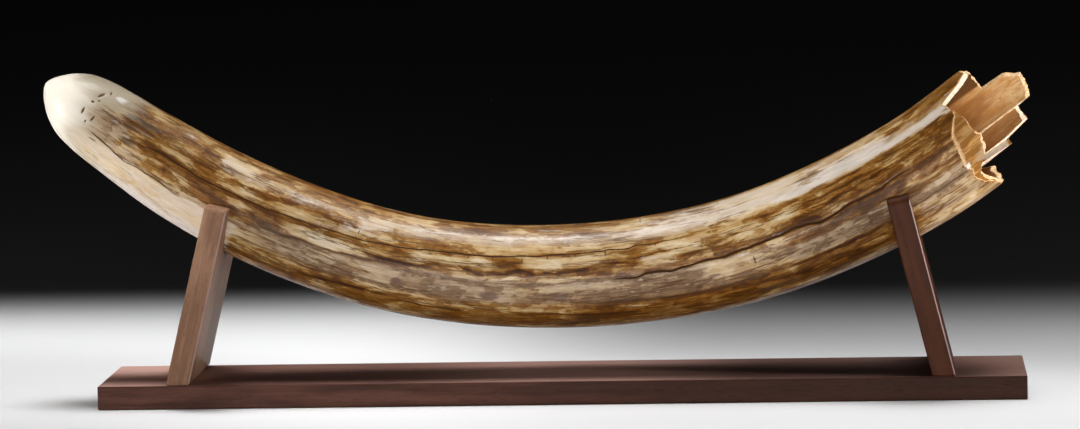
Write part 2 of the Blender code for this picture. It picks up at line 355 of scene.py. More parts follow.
rest_angles = column_angles()
print("columns:", len(rest_angles))

# %% Choose the rows
TIP_ROWS = (0.3, 0.8, 1.5, 2.4, 3.5, 5, 6.6, 8.5, 10.5, 13, 15.5, 18.5, 21.5, 25, 28.5, 32.5, 36.5, 41, 45)
PIT_ROWS = np.arange(46.5, 65, 0.95)
SHOULDER_ROWS = np.arange(66.5, 104, 2.6)
LAST_EVEN_ROW = 893
BODY_ROWS = np.linspace(108, LAST_EVEN_ROW, 188)
body_rows = np.concatenate([TIP_ROWS, PIT_ROWS, SHOULDER_ROWS, BODY_ROWS])
BREAK_ROWS = 15                         # rows of the skin that bend to the outline of the break
LEDGE_ROWS = 5
LEDGE_DROP = 0.4                        # mm along which the skin drops to the ledge
FRACTURE_ROWS = 6
CRISP = 0.8                             # mm between the last row of the fracture and the first inside
LINING_PARTS = (1.0, 0.8, 0.6, 0.4, 0.2)        # rows of the cavity that bend back to even rings
CAVITY_ROWS = np.concatenate([np.linspace(LAST_EVEN_ROW, 800, 7), [780, 765, 750, 740, 734]])
print("rows:", len(body_rows), "of skin,", BREAK_ROWS + LEDGE_ROWS + FRACTURE_ROWS + len(LINING_PARTS),
      "over the break and", len(CAVITY_ROWS), "in the cavity")

# %% [markdown]
# ## Relief of the skin
#
# Two things cut into the skin: the long cracks and a few pits at the worn tip. Each is a depth below the
# smooth skin, so the tusk never grows out of its notches. The pits are slits and dots. The low edges of
# the plates of bark are too fine for the mesh, so they are left to a bump in the material.

# %% Pits at the tip
# station, angle, half length along the tusk and half width round it in mm, and slant
PITS = ((55.9, 44.0, 2.3, 4.8, -0.35), (57.7, 54.0, 1.4, 1.5, 0.0), (53.0, 60.0, 2.4, 1.6, 0.2),
        (50.3, 78.7, 1.5, 5.0, 0.1), (62.0, 81.0, 1.5, 4.4, -0.15), (61.5, 32.0, 1.0, 3.6, 0.2),
        (57.5, 90.0, 0.9, 2.6, 0.0), (68.0, 62.5, 6.5, 0.9, 0.0), (72.0, 106.0, 6.5, 0.8, 0.1))
PIT_DEPTH = 0.9 * MM
PIT_STEEPNESS = 1.8                     # above 1, a pit has a flat floor


def pits(stations, angles):
    """How far a point lies inside a pit: 1 at its middle, 0 outside it."""
    share = np.zeros_like(stations)
    arc = np.radians(angles) * radius_at(stations) / MM
    for station, angle, half_length, half_width, slant in PITS:
        across = arc - math.radians(angle) * float(radius_at(station)) / MM
        along = stations - station - slant * across
        share = np.maximum(share, 1 - np.hypot(along / half_length, across / half_width))
    return np.clip(share * PIT_STEEPNESS, 0, 1)


print("pits:", len(PITS))

# %% Cracks as grooves
CRACK_PROFILE = (1.0, 0.44, 0.30, 0.20, 0.12, 0.05)     # how near a crack is, by columns away from it
LOWER_LIP = 0.25                        # how deep the column below a crack lies, as a share of its depth


def crack_share(stations, columns):
    """How near each point is to a crack, and how deep it lies in it, by the column that it stands on."""
    share = np.zeros(len(columns))
    depth = np.zeros(len(columns))
    for crack in CRACKS.values():
        middle = int(np.argmin(abs(rest_angles - crack["rest"])))
        strength = np.interp(stations, *zip(*crack["strength"]))
        away = abs(columns - middle)
        profile = np.interp(away, range(len(CRACK_PROFILE) + 1), (*CRACK_PROFILE, 0))
        profile[middle + 1] += crack["wide"]
        share = np.maximum(share, strength * profile)
        groove = (columns == middle) + (LOWER_LIP + crack["wide"]) * (columns == middle + 1)
        depth += strength * crack["depth"] * groove
    return share, depth


print("grooves:", [round(crack["depth"] / MM, 2) for crack in CRACKS.values()], "mm deep")

# %% [markdown]
# ## The unrolled sheet
#
# The sheet is first made flat, in the tusk's own terms: a vertex's X is its distance from the tip, its Y
# the angle round the axis and its Z the distance from the axis. In that form every ring is one line of
# arithmetic. A ring gives the station, the angle and the reach of its vertices, how near they are to a
# crack and to the middle of a pit, and their layer, which the material reads. The faces join each ring
# to the next, and one vertex closes each end.

# %% Rings of the skin
SKIN, FLAKED, BROKEN, STEPPED, LINING = 0.0, 0.5, 1.0, 1.3, 2.0         # the layers


def outer_rings():
    columns = np.arange(len(rest_angles))
    for station in body_rows:
        stations = np.full(len(columns), station)
        angles = lead_columns(rest_angles, station)
        share, groove = crack_share(stations, columns)
        pit = pits(stations, angles)
        yield stations, angles, radius_at(stations) - groove - pit * PIT_DEPTH, share, pit, SKIN


skin_rings = list(outer_rings())
print("skin:", len(skin_rings), "rings")

# %% Rings over the break
def beside_step(stations):
    """Whether the points lie on the edge of the inner layer that ends part of the way round."""
    angle, start = STEP_IN_WALL
    return (abs(rest_angles - angle) < STEP_WIDTH) & (stations > start)


def break_rings():
    """The rings from the last even row to the edge of the break, over it and across the wall."""
    columns = np.arange(len(rest_angles))
    none = np.zeros(len(rest_angles))
    rim = BREAK_STATION + around(RIM, rest_angles) + ragged(rest_angles, SEED["rim"])
    slant = around(SLANT, rest_angles) + jitter(rest_angles, *RAGGED_SLANT, SEED["slant"])
    outer = rim - np.maximum(slant, 0)
    inner = rim + np.minimum(slant, 0)
    flaked = (rest_angles > FLAKE_EDGE[0][0]) & (rest_angles < FLAKE_EDGE[-1][0])
    layer = BREAK_STATION + around(FLAKE_EDGE, rest_angles) + ragged(rest_angles, SEED["flake"])
    edge = np.where(flaked, np.minimum(layer, outer - CHIP_WIDTH), outer - CHIP_WIDTH)
    depth = np.where(flaked, FLAKE_DEPTH, EDGE_CHIP)
    for part in np.linspace(0, 1, BREAK_ROWS + 1)[1:]:
        stations = LAST_EVEN_ROW + part * (edge - LAST_EVEN_ROW)
        share, groove = crack_share(stations, columns)
        yield stations, rest_angles, radius_at(stations) - groove, share, none, SKIN
    ledge = radius_at(edge) - depth
    for part in np.linspace(0, 1, LEDGE_ROWS):
        stations = edge + LEDGE_DROP + part * (outer - edge - LEDGE_DROP)
        grain = jitter(rest_angles, *ROUGH_LEDGE, SEED["ledge"]) * flaked
        yield stations, rest_angles, ledge + grain * part, none, none, FLAKED if part else BROKEN
    bore = cavity_reach(inner, rest_angles)
    for row, part in enumerate(np.linspace(0, 1, FRACTURE_ROWS + 1)[1:]):
        rough = jitter(rest_angles, *ROUGH_FRACTURE, SEED["fracture"] + row) * (1 if part < 1 else 0)
        stations = outer + part * (inner - outer) + rough
        layers = np.where(part <= around(CREAM, rest_angles), BROKEN, LINING)
        yield stations, rest_angles, ledge + part * (bore - ledge), none, none, layers
    for part in LINING_PARTS:
        stations = LAST_EVEN_ROW + part * (inner - CRISP - LAST_EVEN_ROW)
        layers = np.where(beside_step(stations), STEPPED, LINING)
        yield stations, rest_angles, cavity_reach(stations, rest_angles), none, none, layers


broken_rings = list(break_rings())
print("break:", len(broken_rings), "rings")

# %% Rings of the cavity, and all of them together
def cavity_rings():
    none = np.zeros(len(rest_angles))
    for station in CAVITY_ROWS:
        stations = np.full(len(rest_angles), float(station))
        yield stations, rest_angles, cavity_reach(stations, rest_angles), none, none, LINING


rings = skin_rings + broken_rings + list(cavity_rings())
sheet = {name: np.concatenate([np.broadcast_to(ring[i], rest_angles.shape) for ring in rings])
         for i, name in enumerate(("station", "angle", "reach", "crack", "pit", "layer"))}
last_two = {"station": (0.0, BREAK_STATION - CAVITY_DEPTH), "layer": (SKIN, LINING)}
sheet = {name: np.append(values, last_two.get(name, (0.0, 0.0))) for name, values in sheet.items()}
print("sheet:", len(rings), "rings of", len(rest_angles), "vertices")

# %% Join the rings into a sheet
def sheet_mesh():
    """The rings joined into one closed sheet, with the tip's vertex and the cavity's last."""
    count = len(rest_angles)
    rows = len(rings)
    starts = np.arange(rows - 1)[:, None] * count
    low = (starts + np.arange(count)).ravel()
    beside = (starts + (np.arange(count) + 1) % count).ravel()
    quads = np.stack([low, beside, beside + count, low + count], axis=1).tolist()
    tip, end = rows * count, rows * count + 1
    last = (rows - 1) * count
    caps = [(tip, (i + 1) % count, i) for i in range(count)]
    caps += [(last + i, last + (i + 1) % count, end) for i in range(count)]
    flat = np.stack([sheet["station"] * MM, np.radians(sheet["angle"]), sheet["reach"]], axis=1)
    return new_mesh("tusk sheet", flat.tolist(), quads + caps)


flat_sheet = sheet_mesh()
print("sheet:", triangles(flat_sheet), "triangles")

# %% [markdown]
# ## Stains and patches
#
# Minerals stained the tusk in the ground: golden brown where the outer bark is left, cream where it has
# gone, lilac grey on the lower side and almost white at the polished tip. The fine edges of the patches
# come later, from noise in the material. Here each vertex only gets a leaning towards bark, towards
# lilac or towards cream, from a profile round the tusk, a list of the larger patches and a list of
# strokes. A patch is a box along and round the tusk, with soft ends. A stroke is a narrow band that
# follows a run of places along the grain.

# %% Leanings round the tusk
# From 37 to 48 degrees the profiles lean away from bark and towards lilac and pale: partly the tusk's own
# pale band, and partly a painted highlight where the light from above is reflected along the upper side.
BARK_ROUND = ((-180, 0.30), (-150, 0.30), (-120, 0.05), (-95, -0.10), (-60, 0.05), (-30, 0.15), (0, 0.15),
              (12, 0.28), (31, 0.28), (37, -0.30), (48, -0.25), (54, 0.0), (66, 0.0), (84, 0.02),
              (92, -0.30), (110, -0.25), (120, 0.22), (140, 0.38), (160, 0.36), (180, 0.30))
LILAC_ROUND = ((-180, 0.1), (-120, 0.3), (-90, 0.45), (-60, 0.1), (0, 0), (32, 0.1), (38, 0.5), (48, 0.45),
               (55, 0.05), (86, 0.05), (92, 0.6), (112, 0.55), (122, 0.15), (180, 0.1))
PALE_ROUND = ((-180, -0.3), (-120, -0.1), (-60, 0.1), (0, 0.0), (31, 0.0), (37, 0.35), (48, 0.25),
              (56, -0.05), (90, 0.0), (115, -0.1), (140, -0.4), (180, -0.3))
print("leanings underneath:", [outline[-1][1] for outline in (BARK_ROUND, LILAC_ROUND, PALE_ROUND)])

# %% The larger patches
PATCHES = (  # (from, to) along in mm, (from, to) round in degrees, then bark, lilac and pale
    (84, 120, 45, 63, 0.95, 0.7, -0.8), (94, 109, 77, 86, 1.2, 0.8, -0.7), (100, 190, 5, 28, -0.4, 0, 0.15),
    (60, 185, 33, 58, 0.5, -0.5, -0.6), (120, 230, 84, 96, 0.4, -0.3, -0.2),
    (45, 225, 104, 162, -0.9, 0, 0.9), (80, 225, 131, 170, 0, 0.5, 0.15), (80, 225, 139, 170, 0, 0.5, 0.15),
    (120, 240, 56, 98, 0.45, -0.3, -0.5), (60, 93, 65, 100, -0.4, 0.7, 0.1),
    (185, 221, 22, 41, -0.8, 0, 0.4), (132, 163, 59, 66, -0.7, 0, 0.3), (128, 152, 72, 76, -0.7, 0, 0.3),
    (152, 172, 82, 89, -0.6, 0, 0.3), (211, 235, 58, 70, -0.8, 0, 0.3), (216, 232, 78, 88, -0.9, 0, 0.5),
    (240, 480, -2, 14, 0.4, 0, -0.2), (480, 600, 16, 30, -0.35, 0, 0.15), (236, 330, 44, 56, 0.55, -0.3, 0),
    (359, 369, 44, 56, 0.6, 0, 0), (390, 426, 48, 59, 0.5, 0, 0), (330, 358, 44, 62, -0.5, 0, 0.3),
    (270, 345, 57, 68, -0.5, 0, 0.2), (240, 262, 73, 94, 0.7, 0, -0.3), (264, 300, 71, 75, 0.6, 0, 0),
    (272, 345, 76, 88, -0.65, 0.1, 0), (346, 386, 79, 88, 0.6, 0, 0), (384, 432, 67, 81, -0.7, 0, 0.2),
    (390, 453, 76, 84, 0.5, 0, -0.3), (441, 462, 65, 78, -0.7, 0, 0.2), (452, 488, 66, 84, 0.45, 0, 0),
    (489, 568, 62, 75, -0.8, 0, 0.25), (490, 610, 76, 86, 0.5, 0, 0), (604, 635, 71, 81, -0.8, 0.1, 0.1),
    (640, 700, 74, 84, 0.3, 0, 0), (232, 350, 88, 94, 0.4, 0, -0.3), (375, 404, 8, 30, -0.6, 0, 0.2),
    (583, 612, 8, 28, -0.6, 0, 0.2), (685, 758, 6, 30, -0.6, 0, 0.2), (600, 720, 58, 74, -0.45, 0, 0.25),
    # painted highlight: (740, 990, 43, 50) and the patch from 600 to 858 mm between 32 and 47 degrees
    # brighten the band where the light from above is reflected
    (857, 932, -10, 24, 0.1, 0.1, 0), (740, 990, 43, 50, -0.6, 0.35, 0.7), (858, 990, 26, 41, 0.4, 0, 0),
    (600, 858, 9, 31, -0.35, 0.1, 0.45), (600, 858, 32, 47, -0.3, 0.1, 0.4),
    (540, 730, 113, 142, 0.4, 0, -0.3), (50, 84, 44, 64, -0.6, 0.6, 0.2), (60, 200, -10, 14, 0.3, 0, -0.1),
    (926, 960, 107, 117, 0, 0, 1.0), (934, 965, 101, 117, 0, 0, 1.0), (916, 940, 78, 88, 0, 0, 0.7),
    (612, 680, 8, 30, 0.4, 0, 0.1), (752, 932, 52, 81, 0.42, 0, -0.2), (714, 736, 56, 63, 0.6, 0, -0.2),
    (736, 757, 62, 69, -0.9, 0.1, 0.4), (730, 775, 72, 81, 0.4, 0, 0), (766, 790, 28, 44, 0, 0.9, -0.45),
    (808, 828, 30, 40, 0, 0.8, -0.4), (845, 858, 40, 46, 0.1, 0.8, -0.5), (750, 862, 72, 99, 0.1, -0.6, 0),
    # painted highlight: (790, 860, 27, 44) whitens the same band on the root's arm
    (790, 860, 27, 44, -0.35, 0.3, 0.45), (712, 766, 14, 42, -0.2, 0.1, 0.3),
    (480, 740, 93, 114, 0.25, 0, 0), (736, 858, 86, 97, 0.6, 0, -0.1), (608, 657, 94, 114, 0.3, 0.9, -0.8),
    (661, 702, 90, 108, -0.4, -0.2, 0.3), (467, 532, 122, 131, -0.6, 0, 0.2),
    (735, 830, 98, 114, 0.35, 0.45, -0.5), (846, 872, 100, 116, 0.6, 0, -0.2),
    (853, 930, 82, 103, 0.85, -0.6, -0.1), (855, 930, 106, 116, -0.2, 0.5, 0.1),
    (852, 930, 117, 165, -0.6, 0.15, 0.35), (735, 855, 84, 97, 0.3, -0.7, -0.5),
    (738, 855, 116, 150, 0.6, -0.2, -0.4),
)
BROKEN_PATCHES = (  # the same for the fracture and the cavity
    # on the break these paint light: the bark leanings paint shade on the inner face of the crown, and the
    # lilac leanings paint highlights on the crown's fracture edge and on a splinter of the far wall
    (900, 990, -50, 4, 1.35, 0, 0), (900, 990, -117, -97, 0.1, 1.2, 0), (900, 990, -128, -117.6, 0, 1.3, 0),
    (925, 990, 4, 46, 1.6, 1.2, -0.5), (925, 958, -96, -60, 0.2, 0, 0),
)
STROKES = (  # half width in degrees, then bark, lilac and pale, then the run as (mm, degrees)
    (1.8, 1.2, 0.2, -0.6, (84, 50), (92, 47.5), (102, 46.5), (110, 45), (121, 50)),
    (0.6, 0.9, 0.7, -0.3, (62, 61.5), (75, 63.5), (92, 65)),
    (3.0, -0.6, 0.3, 0.9, (900, 50), (918, 51), (934, 55)),
    (1.2, 0.7, 0, -0.4, (880, 96), (900, 95), (926, 96)),
    (1.0, 1.5, 0, -0.4, (235, 97), (252, 94.5), (263, 92.8), (281, 91), (305, 90), (347, 87.7)),
    (1.4, 1.5, 0, -0.4, (347, 82), (356, 83.5), (381, 82), (390, 83.5), (402, 80), (416, 79), (426, 76.7),
     (437, 80), (452, 83.5)),
    (1.7, 1.7, 0, -0.4, (468, 83.5), (478, 80), (488, 77.5), (494, 81.8), (501, 83.5), (511, 79.5),
     (519, 80), (524, 84)),
    (1.5, 1.6, 0, -0.4, (522, 81.8), (533, 79.2), (548, 77.5), (557, 75), (568, 72.4), (579, 73.3),
     (586, 75)),
    (1.0, 1.3, 0, -0.3, (596, 70.7), (610, 68), (624, 68), (645, 65.6)),
    (1.8, 0.8, 0, -0.2, (635, 80), (645, 75), (656, 75), (666, 71.5), (705, 64.7)),
    (0.9, 1.1, 0.3, -0.4, (256, 120), (281, 117.5), (295, 121), (310, 117.5)),
    (2.2, 0.7, 0.5, -0.4, (286, 113), (300, 113), (316, 117)),
    (0.9, 1.1, 0, -0.4, (338, 112.4), (354, 114), (375, 109), (386, 112.4), (407, 110.7), (417, 117.5)),
    (1.9, 1.2, 0, -0.4, (288, 131), (307, 130), (324, 128.6), (336, 126), (352, 127), (369, 126)),
    (1.0, 1.0, 0, -0.4, (368, 134.6), (382, 129.5), (396, 130.3), (417, 131), (435, 132)),
    (1.5, 1.2, 0, -0.3, (730, 119), (760, 120), (800, 119.5), (822, 118)),
    (1.4, 1.0, 0, 0, (455, 126), (480, 129), (520, 131), (560, 134), (600, 133)),
    (1.6, 1.0, 0, 0, (560, 118), (590, 116), (620, 120), (650, 121), (700, 118)),
    (1.0, 0.7, 0.3, 0, (380, 129), (410, 131), (432, 131)),
    (1.2, 0.6, 0.5, 0, (440, 92), (470, 93.5), (500, 92), (560, 91)),
    (0.8, 1.1, 0, -0.4, (742, 61), (760, 60), (775, 62.5), (800, 63), (822, 61.5)),
    (0.7, 1.2, 0, -0.4, (787, 55.5), (812, 54), (841, 55.5), (866, 57), (895, 59)),
    (0.8, 1.2, 0, -0.4, (752, 72), (770, 70), (786, 71.5), (800, 69), (822, 70), (850, 67), (890, 68)),
    (0.8, 1.0, 0, -0.3, (735, 133), (760, 131), (772, 134), (792, 128), (826, 129)),
    (0.8, 1.0, 0, -0.3, (745, 141), (775, 139), (800, 141), (826, 138)),
    (0.7, 0.9, 0.2, -0.2, (858, 126), (884, 125), (912, 127)),
    (0.7, 0.9, 0, -0.2, (856, 138), (880, 136), (908, 139)),
)
print("stains:", len(PATCHES) + len(BROKEN_PATCHES), "patches and", len(STROKES), "strokes")

# %% How a vertex leans
PATCH_SOFT_ALONG = 7.0                  # mm
PATCH_SOFT_ROUND = 1.8                  # degrees
STROKE_SOFT = 12                        # mm
WAVER_ALONG = ((9.0, 26, 4), (3.0, 9, 2))       # mm of waver, and its length along and round in mm
WAVER_ROUND = ((2.2, 22, 7), (0.8, 8, 3))       # degrees of waver


def wavering(stations, angles, wavers, seed):
    """A smooth push to and fro, so that no edge of a patch runs straight."""
    arc = np.radians(angles) * radius_at(stations) / MM
    push = np.zeros_like(stations)
    for i, (size, along, across) in enumerate(wavers):
        push += [size * noise.noise((s / along, a / across, seed + 7 * i)) for s, a in zip(stations, arc)]
    return push


def add_patches(lean, along, turned, patches, where):
    """Adds the patches to the leanings of the vertices that are picked out."""
    for start, stop, first, last, *strengths in patches:
        inside = np.minimum(along - start, stop - along) / PATCH_SOFT_ALONG
        beside = np.minimum(turned - first, last - turned) / PATCH_SOFT_ROUND
        share = np.clip(inside + 0.5, 0, 1) * np.clip(beside + 0.5, 0, 1) * where
        lean += share[:, None] * np.array(strengths)


def leaning(stations, angles, layers):
    """The leanings towards bark, lilac and pale at each vertex."""
    lean = np.stack([around(BARK_ROUND, angles), around(LILAC_ROUND, angles),
                     around(PALE_ROUND, angles)], axis=1)
    along = stations + wavering(stations, angles, WAVER_ALONG, 1)
    turned = angles + wavering(stations, angles, WAVER_ROUND, 2)
    add_patches(lean, along, turned, PATCHES, layers < BROKEN)
    add_patches(lean, along, turned, BROKEN_PATCHES, layers >= BROKEN)
    for width, bark, lilac, pale, *run in STROKES:
        places, middle = zip(*run)
        inside = np.minimum(along - places[0], places[-1] - along) / STROKE_SOFT
        ends = np.clip(inside + 0.5, 0, 1)
        share = ends * np.exp(-((turned - np.interp(along, places, middle)) / width) ** 2)
        lean += share[:, None] * np.array((bark, lilac, pale))
    return lean


leanings = leaning(sheet["station"], sheet["angle"], sheet["layer"])
print("leanings of", len(leanings), "vertices")

# %% Store what the material reads
def store(mesh, name, values):
    """Stores one vector for each vertex under a name."""
    attribute = mesh.attributes.new(name, "FLOAT_VECTOR", "POINT")
    attribute.data.foreach_set("vector", np.ascontiguousarray(values, dtype=np.float32).ravel())


turn = np.radians(sheet["angle"])
skin = radius_at(sheet["station"])
store(flat_sheet, "grain",
      np.stack([sheet["station"] * MM, skin * np.cos(turn), skin * np.sin(turn)], axis=1))
store(flat_sheet, "leaning", leanings)
store(flat_sheet, "damage", np.stack([sheet["crack"], sheet["pit"], sheet["layer"]], axis=1))
print("stored:", [attribute.name for attribute in flat_sheet.attributes if attribute.name[0] != "."])

# %% [markdown]
# ## Rolling the sheet round the axis
#
# A shape that follows a path is a task for Geometry Nodes. The axis becomes a poly curve, and for each
# vertex of the sheet the tree samples the curve at the vertex's distance from the tip, works out which
# way is up across the axis there, and places the vertex at its angle and reach. A slow swell takes off
# a few tenths of a millimetre here and there, because nothing that grew is a perfect tube, and fine
# fluting along the grain takes off a little more. The same could be done in Python, but the tree can be
# tried with other curves by changing one input.

# %% A curve for the axis
def axis_curve():
    curve = bpy.data.curves.new("tusk axis", "CURVE")
    curve.dimensions = "3D"
    spline = curve.splines.new("POLY")
    spline.points.add(len(axis_points) - 1)
    for point, place in zip(spline.points, axis_points):
        point.co = (*place, 1)
    return new_object("tusk axis", curve)


print("the curve will have", len(axis_points), "points")

# %% Classes that add nodes
class NodeWriter:
    """Arithmetic in nodes, for any class whose node() adds a node and gives back one output."""

    def math(self, operation, *values):
        return self.node("ShaderNodeMath", {"operation": operation}, dict(enumerate(values)))

    def vector(self, operation, *values):
        output = "Value" if operation in ("DOT_PRODUCT", "LENGTH") else "Vector"
        return self.node("ShaderNodeVectorMath", {"operation": operation}, dict(enumerate(values)), output)


class Tree(NodeWriter):
    """A Geometry Nodes tree that is built one node at a time."""

    def __init__(self, name):
        self.tree = bpy.data.node_groups.new(name, "GeometryNodeTree")
        self.tree.is_modifier = True

    def input(self, name, kind, value=None):
        socket = self.tree.interface.new_socket(name, in_out="INPUT", socket_type=kind)
        if value is not None:
            socket.default_value = value
        return socket.identifier

    def node(self, kind, settings, values, output=0):
        """Adds a node and gives back one of its outputs."""
        return new_node(self.tree, kind, settings, values).outputs[output]

    def scaled(self, vector, factor):
        return self.node("ShaderNodeVectorMath", {"operation": "SCALE"}, {0: vector, "Scale": factor})


print("a tree can add, scale and turn vectors")

# %% Build the tree
SWELL = 0.45 * MM                       # the most that the slow noise takes off
SWELL_LENGTH = 70 * MM
FLUTE = 0.35 * MM                       # the most that the fine fluting takes off
TIP_FADE = 14.0                         # per metre: the relief fades out towards the worn tip
FLUTE_PITCH = (1 / (55 * MM), 1 / (5.5 * MM), 1 / (5.5 * MM))


def rolling_tree():
    roll = Tree("roll a sheet round an axis")
    roll.tree.interface.new_socket("Geometry", in_out="OUTPUT", socket_type="NodeSocketGeometry")
    inputs = {name: roll.input(name, kind, value) for name, kind, value in (
        ("Sheet", "NodeSocketGeometry", None), ("Axis", "NodeSocketObject", None),
        ("Swell", "NodeSocketFloat", SWELL), ("Swell length", "NodeSocketFloat", SWELL_LENGTH),
        ("Flute", "NodeSocketFloat", FLUTE), ("Flute pitch", "NodeSocketVector", FLUTE_PITCH),
        ("Seed", "NodeSocketFloat", 3.0), ("Finish", "NodeSocketMaterial", None))}
    given = roll.tree.nodes.new("NodeGroupInput").outputs
    flat = roll.node("GeometryNodeInputPosition", {}, {})
    station, turn, reach = roll.node("ShaderNodeSeparateXYZ", {}, {0: flat}).node.outputs
    curve = roll.node("GeometryNodeObjectInfo", {"transform_space": "RELATIVE"},
                      {"Object": given["Axis"]}, "Geometry")
    sample = roll.node("GeometryNodeSampleCurve", {"mode": "LENGTH", "use_all_curves": True},
                       {"Curves": curve, "Length": station}, "Position")
    along = sample.node.outputs["Tangent"]
    lean = roll.scaled(along, roll.vector("DOT_PRODUCT", along, (0, 0, 1)))
    top = roll.vector("NORMALIZE", roll.vector("SUBTRACT", (0, 0, 1), lean))
    near = roll.vector("CROSS_PRODUCT", along, top)
    spoke = roll.vector("ADD", roll.scaled(top, roll.math("COSINE", turn)),
                        roll.scaled(near, roll.math("SINE", turn)))
    rounded = roll.vector("ADD", sample, roll.scaled(spoke, reach))
    swells = roll.node("ShaderNodeTexNoise", {"noise_dimensions": "4D"},
                       {"Vector": rounded, "W": given["Seed"], "Detail": 2.0,
                        "Scale": roll.math("DIVIDE", 1.0, given["Swell length"])})
    grain = roll.node("GeometryNodeInputNamedAttribute", {"data_type": "FLOAT_VECTOR"}, {"Name": "grain"})
    ridges = roll.node("ShaderNodeTexNoise", {},
                       {"Vector": roll.vector("MULTIPLY", grain, given["Flute pitch"]), "Scale": 1.0,
                        "Detail": 2.0})
    both = roll.math("MULTIPLY_ADD", ridges, given["Flute"], roll.math("MULTIPLY", swells, given["Swell"]))
    taken = roll.math("MULTIPLY", both,
                      roll.math("MINIMUM", roll.math("MULTIPLY", station, TIP_FADE), 1.0))
    worn = roll.vector("SUBTRACT", rounded, roll.scaled(spoke, taken))
    placed = roll.node("GeometryNodeSetPosition", {}, {"Geometry": given["Sheet"], "Position": worn})
    real = roll.node("GeometryNodeRealizeInstances", {}, {"Geometry": placed})
    finished = roll.node("GeometryNodeSetMaterial", {}, {"Geometry": real, "Material": given["Finish"]})
    new_node(roll.tree, "NodeGroupOutput", {}, {0: finished})
    return roll.tree, inputs


roller, roller_inputs = rolling_tree()
print("rolling tree:", len(roller.nodes), "nodes")

# %% Roll the tusk
SHARP_EDGE = math.radians(38)


def finished_piece(name, mesh, slot, *replaced):
    """A piece at the origin that rides with the object and stands for solids of it."""
    piece = new_object(name, mesh)
    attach(piece, "root")
    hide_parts(*replaced)
    return piece


def roll_tusk():
    axis = axis_curve()
    rolled = new_object("rolled", flat_sheet)
    modifier = rolled.modifiers.new("roll", "NODES")
    modifier.node_group = roller
    modifier[roller_inputs["Axis"]] = axis
    depsgraph = bpy.context.evaluated_depsgraph_get()
    mesh = bpy.data.meshes.new_from_object(rolled.evaluated_get(depsgraph), depsgraph=depsgraph,
                                           preserve_all_data_layers=True)
    for spare in (rolled, axis):
        bpy.data.objects.remove(spare, do_unlink=True)
    mesh.name = "tusk skin"
    mesh.shade_smooth()
    mesh.set_sharp_from_angle(angle=SHARP_EDGE)
    return mesh


tusk_mesh = roll_tusk()
tusk = finished_piece("tusk_skin", tusk_mesh, "ivory", "tusk")
print("tusk:", triangles(tusk_mesh), "triangles")

# %% Measure the skin against its solid
def distance_from_solid(mesh, node, samples=4000):
    """The greatest distance of the mesh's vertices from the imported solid, in mm."""
    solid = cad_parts[node].data
    tree = BVHTree.FromPolygons([v.co for v in solid.vertices], [tuple(p.vertices) for p in solid.polygons])
    step = max(1, len(mesh.vertices) // samples)
    return max(tree.find_nearest(v.co)[3] for v in list(mesh.vertices)[::step]) / MM


print("the skin lies within", round(distance_from_solid(tusk_mesh, "tusk"), 2), "mm of the solid")

# %% [markdown]
# ## The stand
#
# The posts and the plank are planed boards. Each post's outline is drawn on its two faces, with a notch
# where the tusk's skin crosses that face, so the notch is bored at the right angle and fits the tusk all
# the way round. The plank is a plain board. A bevel then eases the edges, as a hand plane does: without
# it they would catch no light and look drawn.

# %% Sizes of the stand
BOARD_THICKNESS = 22 * MM
POST_THICKNESS = 20.8 * MM
POST_LEAN = math.radians(13.8)
TIP_POST_FOOT = -361.8 * MM
ROOT_POST_FOOT = 360.4 * MM
TIP_POST_TOP = 184.4 * MM
ROOT_POST_TOP = 185.0 * MM
HORN_ROUND = 6.5 * MM
HORN_STEPS = 12
BOARD_EASE = 1.5 * MM
POST_EASE = 1.4 * MM
EASE_STEPS = 3
EASE_FROM = math.radians(40)            # only sharper edges than this are eased
FLAT_UP_TO = math.radians(50)           # and those below this are shaded as one surface
CLEARANCE = 0.3 * MM
NOTCH_STEPS = 48
SEARCH_ALONG = (100.0, 900.0)           # mm from the tip between which a face can cross the tusk
SEARCH_ROUND = (30.0, 180.0)            # degrees between which a notch can end
SEARCH_FINE = 0.02                      # and how closely both are found
board_low, board_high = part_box("base_board")
BOARD_WIDTH = board_high.y - board_low.y
print("plank:", [round(v / MM, 1) for v in board_high - board_low], "mm")

# %% Where the tusk crosses a post's face
def section(angle, origin, up, through):
    """Where the tusk's skin, with the clearance round it, crosses a face: (y, distance up)."""
    low, high = SEARCH_ALONG
    while high - low > SEARCH_FINE:
        middle = (low + high) / 2
        past = (skin_point(middle, angle, CLEARANCE) - origin).dot(through) * through.x > 0
        low, high = (low, middle) if past else (middle, high)
    spot = skin_point(low, angle, CLEARANCE)
    return spot.y, (spot - origin).dot(up)


def notch_end(side, origin, up, through, horn_top):
    """The angle where the skin rises past the horn's top, on side -1 (+Y) or 1 (-Y)."""
    low, high = SEARCH_ROUND
    while high - low > SEARCH_FINE:
        middle = (low + high) / 2
        above = section(side * middle, origin, up, through)[1] > horn_top
        low, high = (middle, high) if above else (low, middle)
    return side * high


print("the notches clear the tusk by", CLEARANCE / MM, "mm")

# %% One face of a post
def post_outline(origin, up, through, horn_top, foot):
    """One face of a post, from its foot over a rounded horn, round the notch and down again."""
    half = BOARD_WIDTH / 2
    horn = [(half, foot)]
    for bend in np.radians(np.linspace(0, 90, HORN_STEPS + 1)):
        horn.append((half - HORN_ROUND * (1 - math.cos(bend)),
                     horn_top - HORN_ROUND * (1 - math.sin(bend))))
    far, near = [notch_end(side, origin, up, through, horn_top) for side in (-1, 1)]
    notch = [section(angle, origin, up, through)
             for angle in np.linspace(360 + far, near, 2 * NOTCH_STEPS + 1)]
    return horn + notch + [(-y, w) for y, w in reversed(horn)]


print("each face has", 2 * (HORN_STEPS + 2) + 2 * NOTCH_STEPS + 1, "corners")

